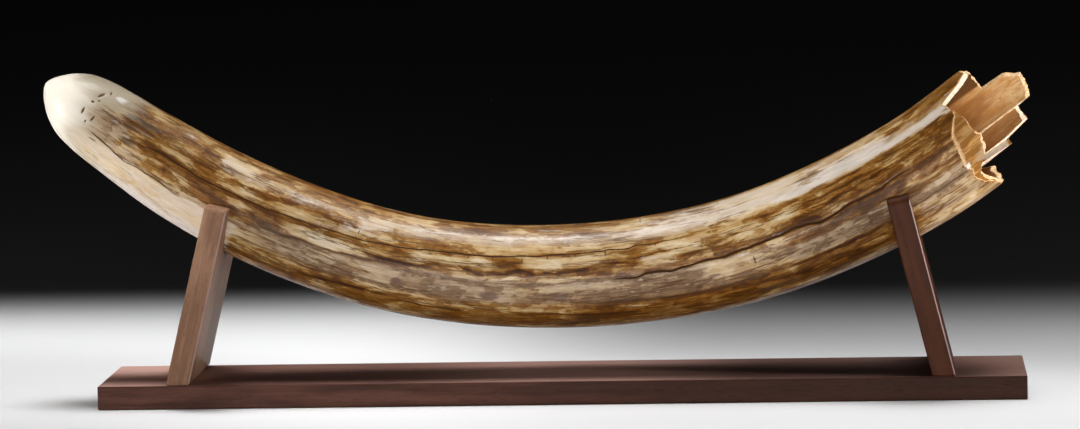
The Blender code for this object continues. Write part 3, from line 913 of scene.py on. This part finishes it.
# %% Make the posts and the plank
def eased(piece, width):
    """The piece with its edges rounded by a bevel."""
    bevel = piece.modifiers.new("eased edges", "BEVEL")
    bevel.width = width
    bevel.segments = EASE_STEPS
    bevel.limit_method = "ANGLE"
    bevel.angle_limit = EASE_FROM
    piece.data.shade_smooth()
    piece.data.set_sharp_from_angle(angle=FLAT_UP_TO)
    return piece


def post(name, foot_edge, inward, top_height, node):
    """A leaning post; inward is +1 where the plank's middle lies towards +X."""
    up = Vector((inward * math.sin(POST_LEAN), 0, math.cos(POST_LEAN)))
    through = Vector((inward * math.cos(POST_LEAN), 0, -math.sin(POST_LEAN)))
    half_foot = POST_THICKNESS / 2 / math.cos(POST_LEAN)
    origin = Vector((foot_edge + inward * half_foot, 0, BOARD_THICKNESS))
    horn_top = (top_height - BOARD_THICKNESS) / math.cos(POST_LEAN)
    points = []
    for depth in (-POST_THICKNESS / 2, POST_THICKNESS / 2):
        face_origin = origin + through * depth
        foot = (CLEARANCE + depth * math.sin(POST_LEAN)) / math.cos(POST_LEAN)
        outline = post_outline(face_origin, up, through, horn_top, foot)
        points += [face_origin + up * w + Vector((0, y, 0)) for y, w in outline]
    count = len(points) // 2
    faces = [tuple(reversed(range(count))), tuple(range(count, 2 * count))]
    faces += [(i, (i + 1) % count, count + (i + 1) % count, count + i) for i in range(count)]
    if inward < 0:
        faces = [tuple(reversed(face)) for face in faces]
    mesh = new_mesh(name, [tuple(point) for point in points], faces)
    return eased(finished_piece(name, mesh, "walnut", node), POST_EASE)


def plank():
    lo, hi = board_low, board_high
    ring = ((lo.x, lo.y), (hi.x, lo.y), (hi.x, hi.y), (lo.x, hi.y))
    corners = [(x, y, z) for z in (lo.z, hi.z) for x, y in ring]
    faces = [(3, 2, 1, 0), (4, 5, 6, 7)] + [(i, (i + 1) % 4, 4 + (i + 1) % 4, 4 + i) for i in range(4)]
    mesh = new_mesh("plank", corners, faces)
    return eased(finished_piece("plank", mesh, "walnut", "base_board"), BOARD_EASE)


tip_post = post("tip_post", TIP_POST_FOOT, 1, TIP_POST_TOP, "tip_end_post")
root_post = post("root_post", ROOT_POST_FOOT, -1, ROOT_POST_TOP, "root_end_post")
board = plank()
print("stand:", tip_post.name, root_post.name, board.name)

# %% [markdown]
# ## Writing materials as arithmetic
#
# A material of many layers is hard to read as a list of nodes and links. One small class wraps a socket
# and overloads the operators, so that `1 - mask` or `a * 0.5 + b` adds the Math nodes by itself. One
# method adds any other node: it takes the node's type, its settings and the values of its sockets. The
# patterns come first, then the steps that turn them into colours, then the material that has both.

# %% Sockets that can be added and multiplied
class Wire:
    """An output socket. Arithmetic on it adds Math nodes to its material."""

    def __init__(self, recipe, socket):
        self.recipe = recipe
        self.socket = socket

    def __add__(self, other):
        return self.recipe.math("ADD", self, other)

    def __sub__(self, other):
        return self.recipe.math("SUBTRACT", self, other)

    def __rsub__(self, other):
        return self.recipe.math("SUBTRACT", other, self)

    def __mul__(self, other):
        return self.recipe.math("MULTIPLY", self, other)

    __radd__ = __add__
    __rmul__ = __mul__


def unwrapped(value):
    return value.socket if isinstance(value, Wire) else value


print("a wire adds, subtracts and multiplies")

# %% Patterns
SEED_SHIFT = (7.3, 3.1, 5.7)            # how far one seed lies from the next in a noise
CELL_SOFTNESS = 0.25


class Patterns(NodeWriter):
    """Noises and cells whose sizes are in mm."""

    def stretched(self, vector, sizes, seed=0):
        """The vector in units of the sizes, in mm, moved to a place of its own by the seed."""
        return self.vector("MULTIPLY_ADD", vector, [1 / (size * MM) for size in sizes],
                           [shift * seed for shift in SEED_SHIFT])

    def noise(self, vector, sizes, detail=3.0, seed=0, roughness=0.55, output="Fac"):
        """Noise round 0.5 whose lumps have these sizes in mm."""
        return self.node("ShaderNodeTexNoise", {},
                         {"Vector": self.stretched(vector, sizes, seed), "Scale": 1.0,
                          "Detail": detail, "Roughness": roughness}, output)

    def wobbled(self, vector, sizes, amounts, seed=0):
        """The vector, pushed about by up to half the amounts, in mm."""
        push = self.noise(vector, sizes, 2.0, seed, output="Color")
        centred = self.vector("SUBTRACT", push, (0.5, 0.5, 0.5))
        return self.vector("MULTIPLY_ADD", centred, [amount * MM for amount in amounts], vector)

    def cells(self, vector, sizes, seed=0):
        """A random value for each box-like cell of these sizes in mm, with soft edges."""
        colour = self.node("ShaderNodeTexVoronoi", {"feature": "SMOOTH_F1", "distance": "CHEBYCHEV"},
                           {"Vector": self.stretched(vector, sizes, seed), "Scale": 1.0,
                            "Smoothness": CELL_SOFTNESS}, "Color")
        return self.node("ShaderNodeSeparateColor", {}, {0: colour})


def steps_of(kind):
    return ", ".join(name for name in vars(kind) if name[0] != "_")


print("patterns:", steps_of(Patterns))

# %% Steps, colours and bumps
class Blends(Patterns):
    """Ways to turn a value into another value, a colour or a bump."""

    def ramp(self, value, low, high, out_low=0.0, out_high=1.0):
        """A smooth step from out_low to out_high as the value goes from low to high."""
        return self.node("ShaderNodeMapRange", {"interpolation_type": "SMOOTHSTEP"},
                         {"Value": value, "From Min": low, "From Max": high,
                          "To Min": out_low, "To Max": out_high})

    def line(self, value, middle, width):
        """1 where the value is the middle one, fading to 0 at the width on either side."""
        return self.ramp(self.math("ABSOLUTE", value - middle), 0.0, width, 1.0, 0.0)

    def colours(self, value, stops):
        """A colour for each value, by the stops of a ramp."""
        node = self.node("ShaderNodeValToRGB", {}, {0: value}, "Color")
        elements = node.socket.node.color_ramp.elements
        for place, colour in stops[1:-1]:
            elements.new(place)
        for element, (place, colour) in zip(elements, stops):
            element.position = place
            element.color = (*colour, 1)
        return node

    def mix(self, share, first, second):
        """The first colour where the share is 0, the second where it is 1."""
        first, second = [(*c, 1) if isinstance(c, tuple) else c for c in (first, second)]
        return self.node("ShaderNodeMix", {"data_type": "RGBA"}, {0: share, 6: first, 7: second}, 2)

    def bump(self, height, depth, normal=None):
        """A bump map: height from 0 to 1, depth in metres."""
        values = {"Height": height, "Distance": depth, "Strength": 1.0}
        if normal:
            values["Normal"] = normal
        return self.node("ShaderNodeBump", {}, values)


print("blends:", steps_of(Blends))

# %% A material that is built node by node
class Recipe(Blends):
    """A material with one Principled shader, and the nodes that feed it."""

    def __init__(self, name):
        self.material = bpy.data.materials.new(name)
        self.material.use_nodes = True
        self.tree = self.material.node_tree
        self.shader = self.tree.nodes["Principled BSDF"]

    def node(self, kind, settings, values, output=0):
        """Adds a node and gives back one of its outputs, ready for arithmetic."""
        values = {name: unwrapped(value) for name, value in values.items()}
        return Wire(self, new_node(self.tree, kind, settings, values).outputs[output])

    def finish(self, **sockets):
        """Sets or links the shader's sockets; an underscore in a name stands for a space."""
        for name, value in sockets.items():
            set_input(self.tree, self.shader.inputs[name.replace("_", " ")], unwrapped(value))
        return self.material

    def attribute(self, name):
        return self.node("ShaderNodeAttribute", {"attribute_name": name}, {}, "Vector")

    def coordinate(self, kind):
        return self.node("ShaderNodeTexCoord", {}, {}, kind)

    def split(self, vector):
        parts = self.node("ShaderNodeSeparateXYZ", {}, {0: vector})
        return [Wire(self, socket) for socket in parts.socket.node.outputs]


print("a recipe also has:", steps_of(Recipe))

# %% [markdown]
# ## Ivory: how deep the stain goes
#
# The bark ends in squared, ragged edges, because it splits along and across the grain, and the stain
# fades under it like a wash. A single noise would give round clouds. Here five patterns are added to the
# leaning that each vertex has: box-like cells for the plates, small blots, long streaks, fine fibres that
# break up the edges, and slow clouds. The sum is the depth of the stain, from 0, pale, to 1, almost
# black. All of them read the grain coordinate, which runs straight along the tusk.

# %% The patterns along the grain
PLATE = (17, 8, 8)                      # mm along and across the grain
BLOT = (7, 4.5, 4.5)
STREAK = (42, 6.5, 6.5)
FIBRE = (13, 1.3, 1.3)
CLOUD = (90, 22, 22)
WAVES = (((45, 10, 10), (16, 4, 4), 1), ((8, 5, 5), (4, 1.6, 1.6), 30))     # lumps, push and seed
TAN = 0.41                              # the depth of the stain where nothing leans


class Grain:
    """The patterns that the layers of the ivory share."""

    def __init__(self, paint):
        self.place = paint.attribute("grain")
        self.along = paint.split(self.place)[0]
        self.bark, self.lilac, self.pale = paint.split(paint.attribute("leaning"))
        self.crack, self.pit, self.layer = paint.split(paint.attribute("damage"))
        self.wavy = self.place
        for sizes, amounts, seed in WAVES:
            self.wavy = paint.wobbled(self.wavy, sizes, amounts, seed)
        self.plates = paint.cells(self.wavy, PLATE, 2) - 0.5
        self.streaks = paint.noise(self.wavy, STREAK, 7.0, 3, 0.66) - 0.5
        self.blots = paint.noise(self.wavy, BLOT, 3.0, 25) - 0.5
        self.fibres = paint.noise(self.place, FIBRE, 3.0, 4) - 0.5
        self.clouds = paint.noise(self.place, CLOUD, 2.0, 5) - 0.5


def stain_depth(paint, grain):
    """How deep the stain goes: cream is 0.25, gold 0.5, dark brown 0.75."""
    beside_cracks = paint.ramp(grain.crack, 0.0, 0.5)
    return (TAN + grain.bark * 0.27 + grain.plates * 0.30 + grain.blots * 0.35 + grain.streaks * 0.95
            + grain.fibres * 0.28 + grain.clouds * 0.45 + beside_cracks * 0.14)


print("plates of", PLATE, "mm, streaks of", STREAK, "mm and fibres of", FIBRE, "mm")

# %% [markdown]
# ## Ivory: the colours
#
# One ramp turns the depth of the stain into a colour, from pale ivory through tan and gold to a brown
# that is almost black. A second ramp, greyer, is used where the lower side turned lilac. Thin dark veins
# follow the grain: they are the contour lines of stretched noises, and here and there the contour of the
# stain itself, where a plate of bark ends.

# %% Colours of the ivory
STAIN = ((0.00, (0.62, 0.49, 0.33)), (0.20, (0.50, 0.35, 0.18)), (0.36, (0.40, 0.248, 0.098)),
         (0.43, (0.30, 0.152, 0.040)), (0.53, (0.225, 0.096, 0.016)), (0.64, (0.137, 0.048, 0.0045)),
         (0.77, (0.072, 0.023, 0.0025)), (1.00, (0.030, 0.008, 0.001)))
LILAC = ((0.15, (0.43, 0.325, 0.22)), (0.38, (0.30, 0.200, 0.12)), (0.55, (0.185, 0.113, 0.062)),
         (0.80, (0.082, 0.049, 0.023)))
PALE_SKIN = (0.56, 0.45, 0.345)
PALE_LILAC = (0.56, 0.50, 0.45)
PALE_SHEEN = (0.70, 0.61, 0.52)
VEIN_AND_SHADE_BROWN = (0.075, 0.028, 0.006)
MAUVE = (0.135, 0.078, 0.056)
DARK_BARK = (0.11, 0.047, 0.014)
TIP_WHITE = (0.79, 0.72, 0.62)
TIP_GREY = (0.42, 0.35, 0.25)
CHIP_WHITE = (0.72, 0.69, 0.65)
CRACK_DARK = (0.040, 0.015, 0.004)
# painted sheen: streaks of a brighter colour laid on pale ivory
SHEEN_STREAK = (26, 4, 4)                       # mm: how the bright wash on pale ivory is streaked
LONG_VEIN = (150, 10, 10)
SHORT_VEIN = (90, 6, 6)
VEINED = (110, 9, 9)                    # the areas that have veins
EDGED = (45, 8, 8)                      # and those where the edge of the bark is drawn


def skin_colour(paint, grain, depth):
    colour = paint.colours(depth, STAIN)
    lilac = paint.ramp(grain.lilac + grain.streaks * 0.9 + grain.clouds * 1.2, 0.15, 0.65)
    colour = paint.mix(lilac * 0.9, colour, paint.colours(depth, LILAC))
    pale = paint.ramp(grain.pale + grain.streaks * 2.0 + grain.clouds + grain.blots * 1.2, 0.25, 0.85)
    pale_colour = paint.mix(paint.ramp(grain.lilac, 0.5, 1.0), PALE_SKIN, PALE_LILAC)
    # painted sheen: brighter streaks on the pale ivory, which also thin the pale share
    sheen_streaks = paint.noise(grain.wavy, SHEEN_STREAK, 4.0, 18, 0.6)
    pale_colour = paint.mix(paint.ramp(sheen_streaks, 0.46, 0.66) * 0.6, pale_colour, PALE_SHEEN)
    return paint.mix(pale * paint.ramp(sheen_streaks, 0.30, 0.46, 0.50, 0.88), colour, pale_colour)


def veins(paint, grain, depth):
    """Thin dark lines along the grain."""
    long = paint.line(paint.noise(grain.wavy, LONG_VEIN, 3.0, 8), 0.5, 0.034)
    short = paint.line(paint.noise(grain.wavy, SHORT_VEIN, 3.0, 12), 0.5, 0.040)
    edge = paint.line(depth, 0.45, 0.035)
    patchy = paint.noise(grain.place, VEINED, 2.0, 14) + grain.bark * 0.05 - grain.pale * 0.16
    long = long * paint.ramp(patchy, 0.44, 0.56)
    short = short * paint.ramp(patchy - grain.lilac * 0.1, 0.40, 0.48)
    edge = edge * paint.ramp(paint.noise(grain.place, EDGED, 2.0, 15) - grain.pale * 0.16, 0.48, 0.56)
    return paint.math("MAXIMUM", paint.math("MAXIMUM", long, short), edge)


print("colours:", len(STAIN), "for stained ivory and", len(LILAC), "for lilac")

# %% [markdown]
# ## Ivory: single marks
#
# A few marks are too small for the vertices to carry: mauve spots on the lower side, two white chips,
# and ticks, which are short dark cracks, most of them across the grain. Each is an ellipsoid round one
# point of the grain coordinate: the distance from that point, measured in the mark's own half sizes, is
# below one inside it.

# %% Spots, chips and short cracks
# station, angle, half length and half width in mm
SPOTS = ((460, 107.5, 11, 6.5), (524, 108, 9.0, 7.0), (379, 105.6, 6.0, 6.0), (664, 104, 9.0, 2.2),
         (612, 112, 4.0, 1.2))
CHIPS = ((73.5, 33.5, 7.0, 4.6), (914, 113, 3.4, 3.4))
TICKS = ((438.5, 64.5, 0.8, 2.6), (461.5, 65.0, 0.8, 3.0), (513, 62.5, 1.0, 2.4), (539, 60.5, 1.0, 2.2),
         (568, 60.8, 1.1, 3.8), (616, 58.0, 1.1, 2.2), (489, 66.5, 0.9, 4.2), (704, 98.8, 1.2, 4.6),
         (604, 15, 0.9, 7.0), (332, 60.0, 0.8, 3.0), (73, 62.5, 11, 0.7), (912, 109.5, 1.8, 1.4),
         (919, 112.5, 1.3, 1.0))


def marks(paint, place, list_of_marks, soft):
    """1 inside any of the marks, fading to 0 at their edges."""
    share = 0.0
    for station, angle, half_length, half_width in list_of_marks:
        reach = float(radius_at(station))
        turn = math.radians(angle)
        sizes = [1 / (half * MM) for half in (half_length, half_width, half_width)]
        middle = (station * MM, reach * math.cos(turn), reach * math.sin(turn))
        away = paint.vector("MULTIPLY_ADD", place, sizes, [-a * b for a, b in zip(middle, sizes)])
        inside = paint.ramp(paint.vector("LENGTH", away), 1 - soft, 1.0, 1.0, 0.0)
        share = paint.math("MAXIMUM", share, inside)
    return share


print("marks:", len(SPOTS), "spots,", len(CHIPS), "chips and", len(TICKS), "ticks")

# %% [markdown]
# ## Ivory: the tip and the break
#
# The tip was worn white in life, and the bark begins at a ragged line 70 to 100 mm back. At the break the
# colours follow the layers: a golden inner layer where the skin has flaked away, cream fracture faces,
# and an orange-brown lining in the cavity, streaked along the grain. Painted shade darkens the lining
# deeper in the cavity and on the inner face of the crown, and painted highlights brighten the crown's
# fracture edge and a splinter of the far wall.

# %% The tip and the break
INNER_LAYER = (0.24, 0.098, 0.015)
INNER_PALE = (0.48, 0.25, 0.075)
INNER_CHIP = (0.38, 0.25, 0.14)
FRACTURE = (0.66, 0.47, 0.27)
FRACTURE_DARK = (0.50, 0.32, 0.16)
FRACTURE_HIGHLIGHT = (0.80, 0.68, 0.54)
CAVITY = (0.62, 0.39, 0.18)
CAVITY_GOLD = (0.42, 0.185, 0.050)
CAVITY_SHADE_BROWN = (0.23, 0.075, 0.009)
CAVITY_GREY = (0.40, 0.175, 0.058)
LUMP = (15, 7, 7)                       # mm along and across the grain
INNER_STREAK = (34, 4, 4)
GRIT = (4, 2, 2)


def with_tip(paint, grain, colour):
    ragged_edge = grain.along + grain.clouds * 0.09 + grain.fibres * 0.03
    top = paint.ramp(paint.split(grain.place)[1], 0.016, 0.036)
    worn = paint.ramp(ragged_edge - top * 0.024, 0.050, 0.084, 1.0, 0.0)
    white = paint.ramp(grain.along + grain.clouds * 0.05 + top * 0.045, 0.030, 0.072)
    return paint.mix(worn, colour, paint.mix(white, TIP_WHITE, TIP_GREY))


def cavity_colour(paint, grain):
    """Pale at the ends of the splinters, with painted shade deeper inside and on the crown's inner face."""
    lumps = paint.noise(grain.wavy, LUMP, 5.0, 9, 0.66)
    mottled = paint.ramp(lumps + grain.fibres * 0.3, 0.38, 0.62)
    # painted shade: the lining darkens deeper inside the cavity
    inside = grain.along * -12 + grain.bark * 0.5 + grain.clouds * 1.2 + grain.streaks * 0.8 + lumps * 1.6
    shade_inside = paint.ramp(inside, -11.05, -10.25)
    colour = paint.mix(shade_inside * 0.85, paint.mix(mottled, CAVITY_GOLD, CAVITY), CAVITY_SHADE_BROWN)
    grey = paint.ramp(grain.lilac, 0.9, 1.3) * paint.ramp(grain.bark, 0.5, 0.9, 0.6, 0.0)
    colour = paint.mix(grey, colour, paint.mix(mottled * 0.6 + 0.4, CAVITY_SHADE_BROWN, CAVITY_GREY))
    # painted shade on the inner face of the crown, where the bark leanings are strongest
    return paint.mix(paint.ramp(grain.bark, 1.0, 1.5) * 0.9, colour, VEIN_AND_SHADE_BROWN)


def with_break(paint, grain, colour):
    streaky = paint.ramp(paint.noise(grain.wavy, INNER_STREAK, 4.0, 10) + grain.fibres * 0.3, 0.44, 0.66)
    flaked = paint.mix(streaky, INNER_LAYER, INNER_PALE)
    flaked = paint.mix(paint.ramp(grain.pale + grain.fibres * 1.5, 0.5, 1.1) * 0.9, flaked, INNER_CHIP)
    grit = paint.noise(grain.place, GRIT, 4.0, 16, 0.65)
    fracture = paint.mix(paint.ramp(grit, 0.42, 0.60), FRACTURE, FRACTURE_DARK)
    # painted highlights on the fracture faces where the lilac leanings are strong: the crown's lit edge and
    # a splinter of the far wall
    painted_highlight = paint.ramp(grain.lilac, 0.9, 1.3) * paint.ramp(grit, 0.42, 0.60, 0.95, 0.50)
    fracture = paint.mix(painted_highlight, fracture, FRACTURE_HIGHLIGHT)
    colour = paint.mix(paint.ramp(grain.layer, 0.1, 0.4), colour, flaked)
    edge = grain.layer + grit * 0.5
    colour = paint.mix(paint.ramp(edge, 0.90, 1.10), colour, fracture)
    return paint.mix(paint.ramp(edge, 1.55, 1.85), colour, cavity_colour(paint, grain))


print("layers at the break: skin", SKIN, "flaked", FLAKED, "broken", BROKEN, "lining", LINING)

# %% [markdown]
# ## Ivory: all the layers
#
# The layers are laid over one another in the order in which they formed: stain, spots and veins, the
# worn tip and the break, then chips, cracks and pits. Pale ivory takes a soft polish, which falls off
# on dark bark, in the cracks and on the break. Two bumps give the edges of the plates and the fibres.

# %% Put the ivory together
PLATE_BUMP = 0.30 * MM
FIBRE_BUMP = 0.25 * MM
POLISH = (0.46, 0.72, 0.115, 0.035)     # two depths of stain, and the coat above and below them
COAT_ROUGHNESS = 0.24
GLEAM = 0.14


def ivory():
    """The material of the tusk."""
    paint = Recipe("mammoth ivory")
    grain = Grain(paint)
    depth = stain_depth(paint, grain)
    colour = skin_colour(paint, grain, depth)
    colour = paint.mix(marks(paint, grain.wavy, SPOTS, 0.5) * 0.8, colour, MAUVE)
    colour = paint.mix(veins(paint, grain, depth) * 0.8, colour, VEIN_AND_SHADE_BROWN)
    colour = with_break(paint, grain, with_tip(paint, grain, colour))
    colour = paint.mix(marks(paint, grain.wavy, CHIPS, 0.75) * 0.9, colour, CHIP_WHITE)
    colour = paint.mix(marks(paint, grain.place, TICKS, 0.5) * 0.8, colour, VEIN_AND_SHADE_BROWN)
    dark = paint.ramp(grain.crack + grain.fibres * 0.6, 0.46, 0.80)
    colour = paint.mix(dark, colour, CRACK_DARK)
    colour = paint.mix(paint.ramp(grain.pit, 0.15, 0.9), colour, DARK_BARK)
    broken = paint.ramp(grain.layer, 0.1, 0.5)
    plates = paint.bump(depth, PLATE_BUMP)
    fibres = paint.bump(grain.fibres + 0.5, FIBRE_BUMP, plates)
    rough = broken * 0.25 + dark * 0.5 + grain.streaks * 0.3 + depth * 0.15 + 0.32
    polish = (1 - broken) * (1 - dark) * paint.ramp(depth, *POLISH)
    return paint.finish(Base_Color=colour, Roughness=rough, Coat_Weight=polish,
                        Coat_Roughness=COAT_ROUGHNESS, Specular_IOR_Level=GLEAM, Normal=fibres)


def dress(piece, material):
    piece.data.materials.clear()
    piece.data.materials.append(material)


dress(tusk, ivory())
print("ivory:", len(tusk.data.materials[0].node_tree.nodes), "nodes")

# %% [markdown]
# ## Walnut
#
# The stand is dark walnut under a thin satin finish. Wood could be a Wave texture, but its bands come out
# even. Here the growth rings are one noise stretched a long way along the board, the pores are the
# lowest values of a finer one, and a third slowly changes the tone. Each board gets its own tone and its
# own grain direction. The plank has painted shade that darkens it towards the root and a painted sheen
# on its top, and each post has a painted highlight along one front edge.

# %% The wood
RING = (420, 9, 16)                     # mm along, across and through the board
FIGURE = (70, 5, 9)
PORE = (9, 0.45, 0.45)
CLOUDY = (160, 30, 30)
WOOD_WAVE = ((180, 30, 30), (30, 6, 6))         # lumps and push
WALNUTS = {"plank walnut": ((0.060, 0.024, 0.016), (0.155, 0.066, 0.046)),
           "light walnut": ((0.185, 0.092, 0.052), (0.375, 0.207, 0.127)),
           "dark walnut": ((0.025, 0.006, 0.001), (0.075, 0.023, 0.009))}       # dark and light rings
PAINTED_SHADE_WALNUT = (0.022, 0.006, 0.002)
PAINTED_TOP_SHEEN = (0.62, 0.37, 0.31)
PAINTED_EDGE_HIGHLIGHT = (0.34, 0.235, 0.21)
PORE_DEPTH = 0.10 * MM
WOOD_GLEAM = 0.07


def walnut(name, lean, seed):
    """Walnut whose grain runs along local X after the board is laid down by the lean."""
    dark, light = WALNUTS[name]
    paint = Recipe(name)
    laid = paint.node("ShaderNodeMapping", {"vector_type": "POINT"},
                      {"Vector": paint.coordinate("Object"), "Rotation": (0, lean, 0)})
    wavy = paint.wobbled(laid, *WOOD_WAVE, seed)
    rings = paint.noise(wavy, RING, 5.0, seed + 1, 0.62) + paint.noise(wavy, FIGURE, 4.0, seed + 4) * 0.5
    rings = paint.ramp(rings, 0.56, 0.94)
    tone = paint.noise(laid, CLOUDY, 2.0, seed + 2)
    pores = paint.ramp(paint.noise(laid, PORE, 2.0, seed + 3), 0.28, 0.42, 1.0, 0.0)
    wood = paint.mix(rings, dark, light)
    wood = paint.mix(paint.ramp(tone, 0.3, 0.7) * 0.35, wood, dark)
    wood = paint.mix(pores * 0.6, wood, tuple(0.35 * part for part in dark))
    return paint, wood, rings, pores


def oiled(paint, wood, rings, pores):
    """The thin satin finish over the wood."""
    grooves = paint.bump(1 - pores, PORE_DEPTH)
    return paint.finish(Base_Color=wood, Roughness=rings * 0.08 + 0.42, Specular_IOR_Level=WOOD_GLEAM,
                        Normal=grooves)


def plank_walnut():
    """The plank: painted shade darkens it towards the root, and a painted sheen lightens its top, most of
    all by the tip.
    """
    paint, wood, rings, pores = walnut("plank walnut", 0.0, 1)
    along = paint.split(paint.coordinate("Object"))[0]
    # painted shade: the plank darkens towards the root's end
    wood = paint.mix(paint.ramp(along, -0.35, 0.25, 0.0, 0.72), wood, PAINTED_SHADE_WALNUT)
    up = paint.split(paint.coordinate("Normal"))[2]
    # painted sheen on the top: most at the tip's end, some at the root's end, and a little more in the
    # middle, where the tusk's shadow falls
    spread = paint.ramp(along, -0.39, -0.31, 0.95, 0.14) + paint.ramp(along, 0.34, 0.42, 0.0, 0.16)
    spread = spread + paint.ramp(paint.math("ABSOLUTE", along - 0.01), 0.03, 0.18, 0.35, 0.0)
    wood = paint.mix(paint.ramp(up, 0.7, 0.9) * spread, wood, PAINTED_TOP_SHEEN)
    return oiled(paint, wood, rings, pores)


def post_walnut(name, lean, seed):
    """A post's walnut, with a painted highlight along the front edge on the root's side."""
    paint, wood, rings, pores = walnut(name, lean, seed)
    across, out = paint.split(paint.coordinate("Normal"))[:2]
    # painted highlight on the eased front edge, where light from the side catches it
    wood = paint.mix(paint.ramp(across - out, 1.15, 1.35) * 0.8, wood, PAINTED_EDGE_HIGHLIGHT)
    return oiled(paint, wood, rings, pores)


print("growth rings of", RING, "mm and pores of", PORE, "mm")

# %% Dress the stand
upright = math.radians(90)
dress(board, plank_walnut())
dress(tip_post, post_walnut("light walnut", upright - POST_LEAN, 5))
dress(root_post, post_walnut("dark walnut", upright + POST_LEAN, 9))
print("walnut on", [piece.name for piece in (board, tip_post, root_post)])

# %% [markdown]
# ## Floor and light
#
# The object stands on a plain pale floor in a dark room. Softboxes with narrow beams hang over it: where
# their pools of light end, the floor fades into the dark, and their reflection draws the soft highlight
# along the upper side of the tusk. A low one in front fills the shadows, and two small ones at the sides
# bring out the white tip and the break. They are aimed along the object, so that they miss the floor. A
# last, faint one stands behind, so that the far side isn't lost in the dark.

# %% The floor
FLOOR_COLOUR = (0.86, 0.86, 0.87)
FLOOR_REACH = 20                        # metres to each side
FLOOR_CORNERS = [(x * FLOOR_REACH, y * FLOOR_REACH, 0) for x, y in ((-1, -1), (1, -1), (1, 1), (-1, 1))]


def add_floor():
    mesh = new_mesh("floor", FLOOR_CORNERS, [(0, 1, 2, 3)])
    floor = new_object("floor", mesh)
    paint = Recipe("pale floor")
    mesh.materials.append(paint.finish(Base_Color=(*FLOOR_COLOUR, 1), Roughness=0.6))
    return floor


print("floor:", [round(size) for size in add_floor().dimensions], "m")

# %% The lights
LIGHTS = {        # place, aim, size along and across in metres, power in watts, spread
    "overhead left": ((-0.74, 0.37, 1.25), (-0.74, 0.19, 0), (1.3, 1.0), 4.0, 25),
    "overhead right": ((0.50, 0.18, 1.25), (0.50, -0.10, 0), (1.4, 1.2), 3.1, 42),
    "near right": ((0.55, -0.12, 1.25), (0.55, -0.29, 0), (1.4, 0.7), 1.4, 30),
    "front": ((0.2, -2.2, 0.11), (0.1, 0, 0.25), (3.0, 0.18), 3.0, 28),
    "left": ((-1.6, -0.25, 0.32), (-0.42, 0, 0.25), (0.35, 0.3), 0.32, 12),
    "right": ((1.6, -0.36, 0.42), (0.45, 0, 0.20), (0.3, 0.3), 0.55, 18),
    "behind": ((0.0, 2.2, 1.3), (0, 0.1, 0.2), (2.4, 0.6), 0.03, 30),
}
ROOM = (0.001, 0.001, 0.001)


def add_light(name, place, aim, size, power, spread):
    data = bpy.data.lights.new(name, "AREA")
    data.shape = "RECTANGLE"
    data.size, data.size_y = size
    data.energy = power
    data.spread = math.radians(spread)
    light = new_object(name, data)
    beam = (Vector(aim) - Vector(place)).to_track_quat("-Z", "Y")
    light.matrix_world = Matrix.Translation(place) @ beam.to_matrix().to_4x4()
    light.visible_camera = False


for name, settings in LIGHTS.items():
    add_light(name, *settings)
room = bpy.data.worlds.new("room")
room.use_nodes = True
room.node_tree.nodes["Background"].inputs["Color"].default_value = (*ROOM, 1)
bpy.context.scene.world = room
bpy.context.scene.view_settings.view_transform = "Standard"
print("lights:", ", ".join(LIGHTS))

# %% [markdown]
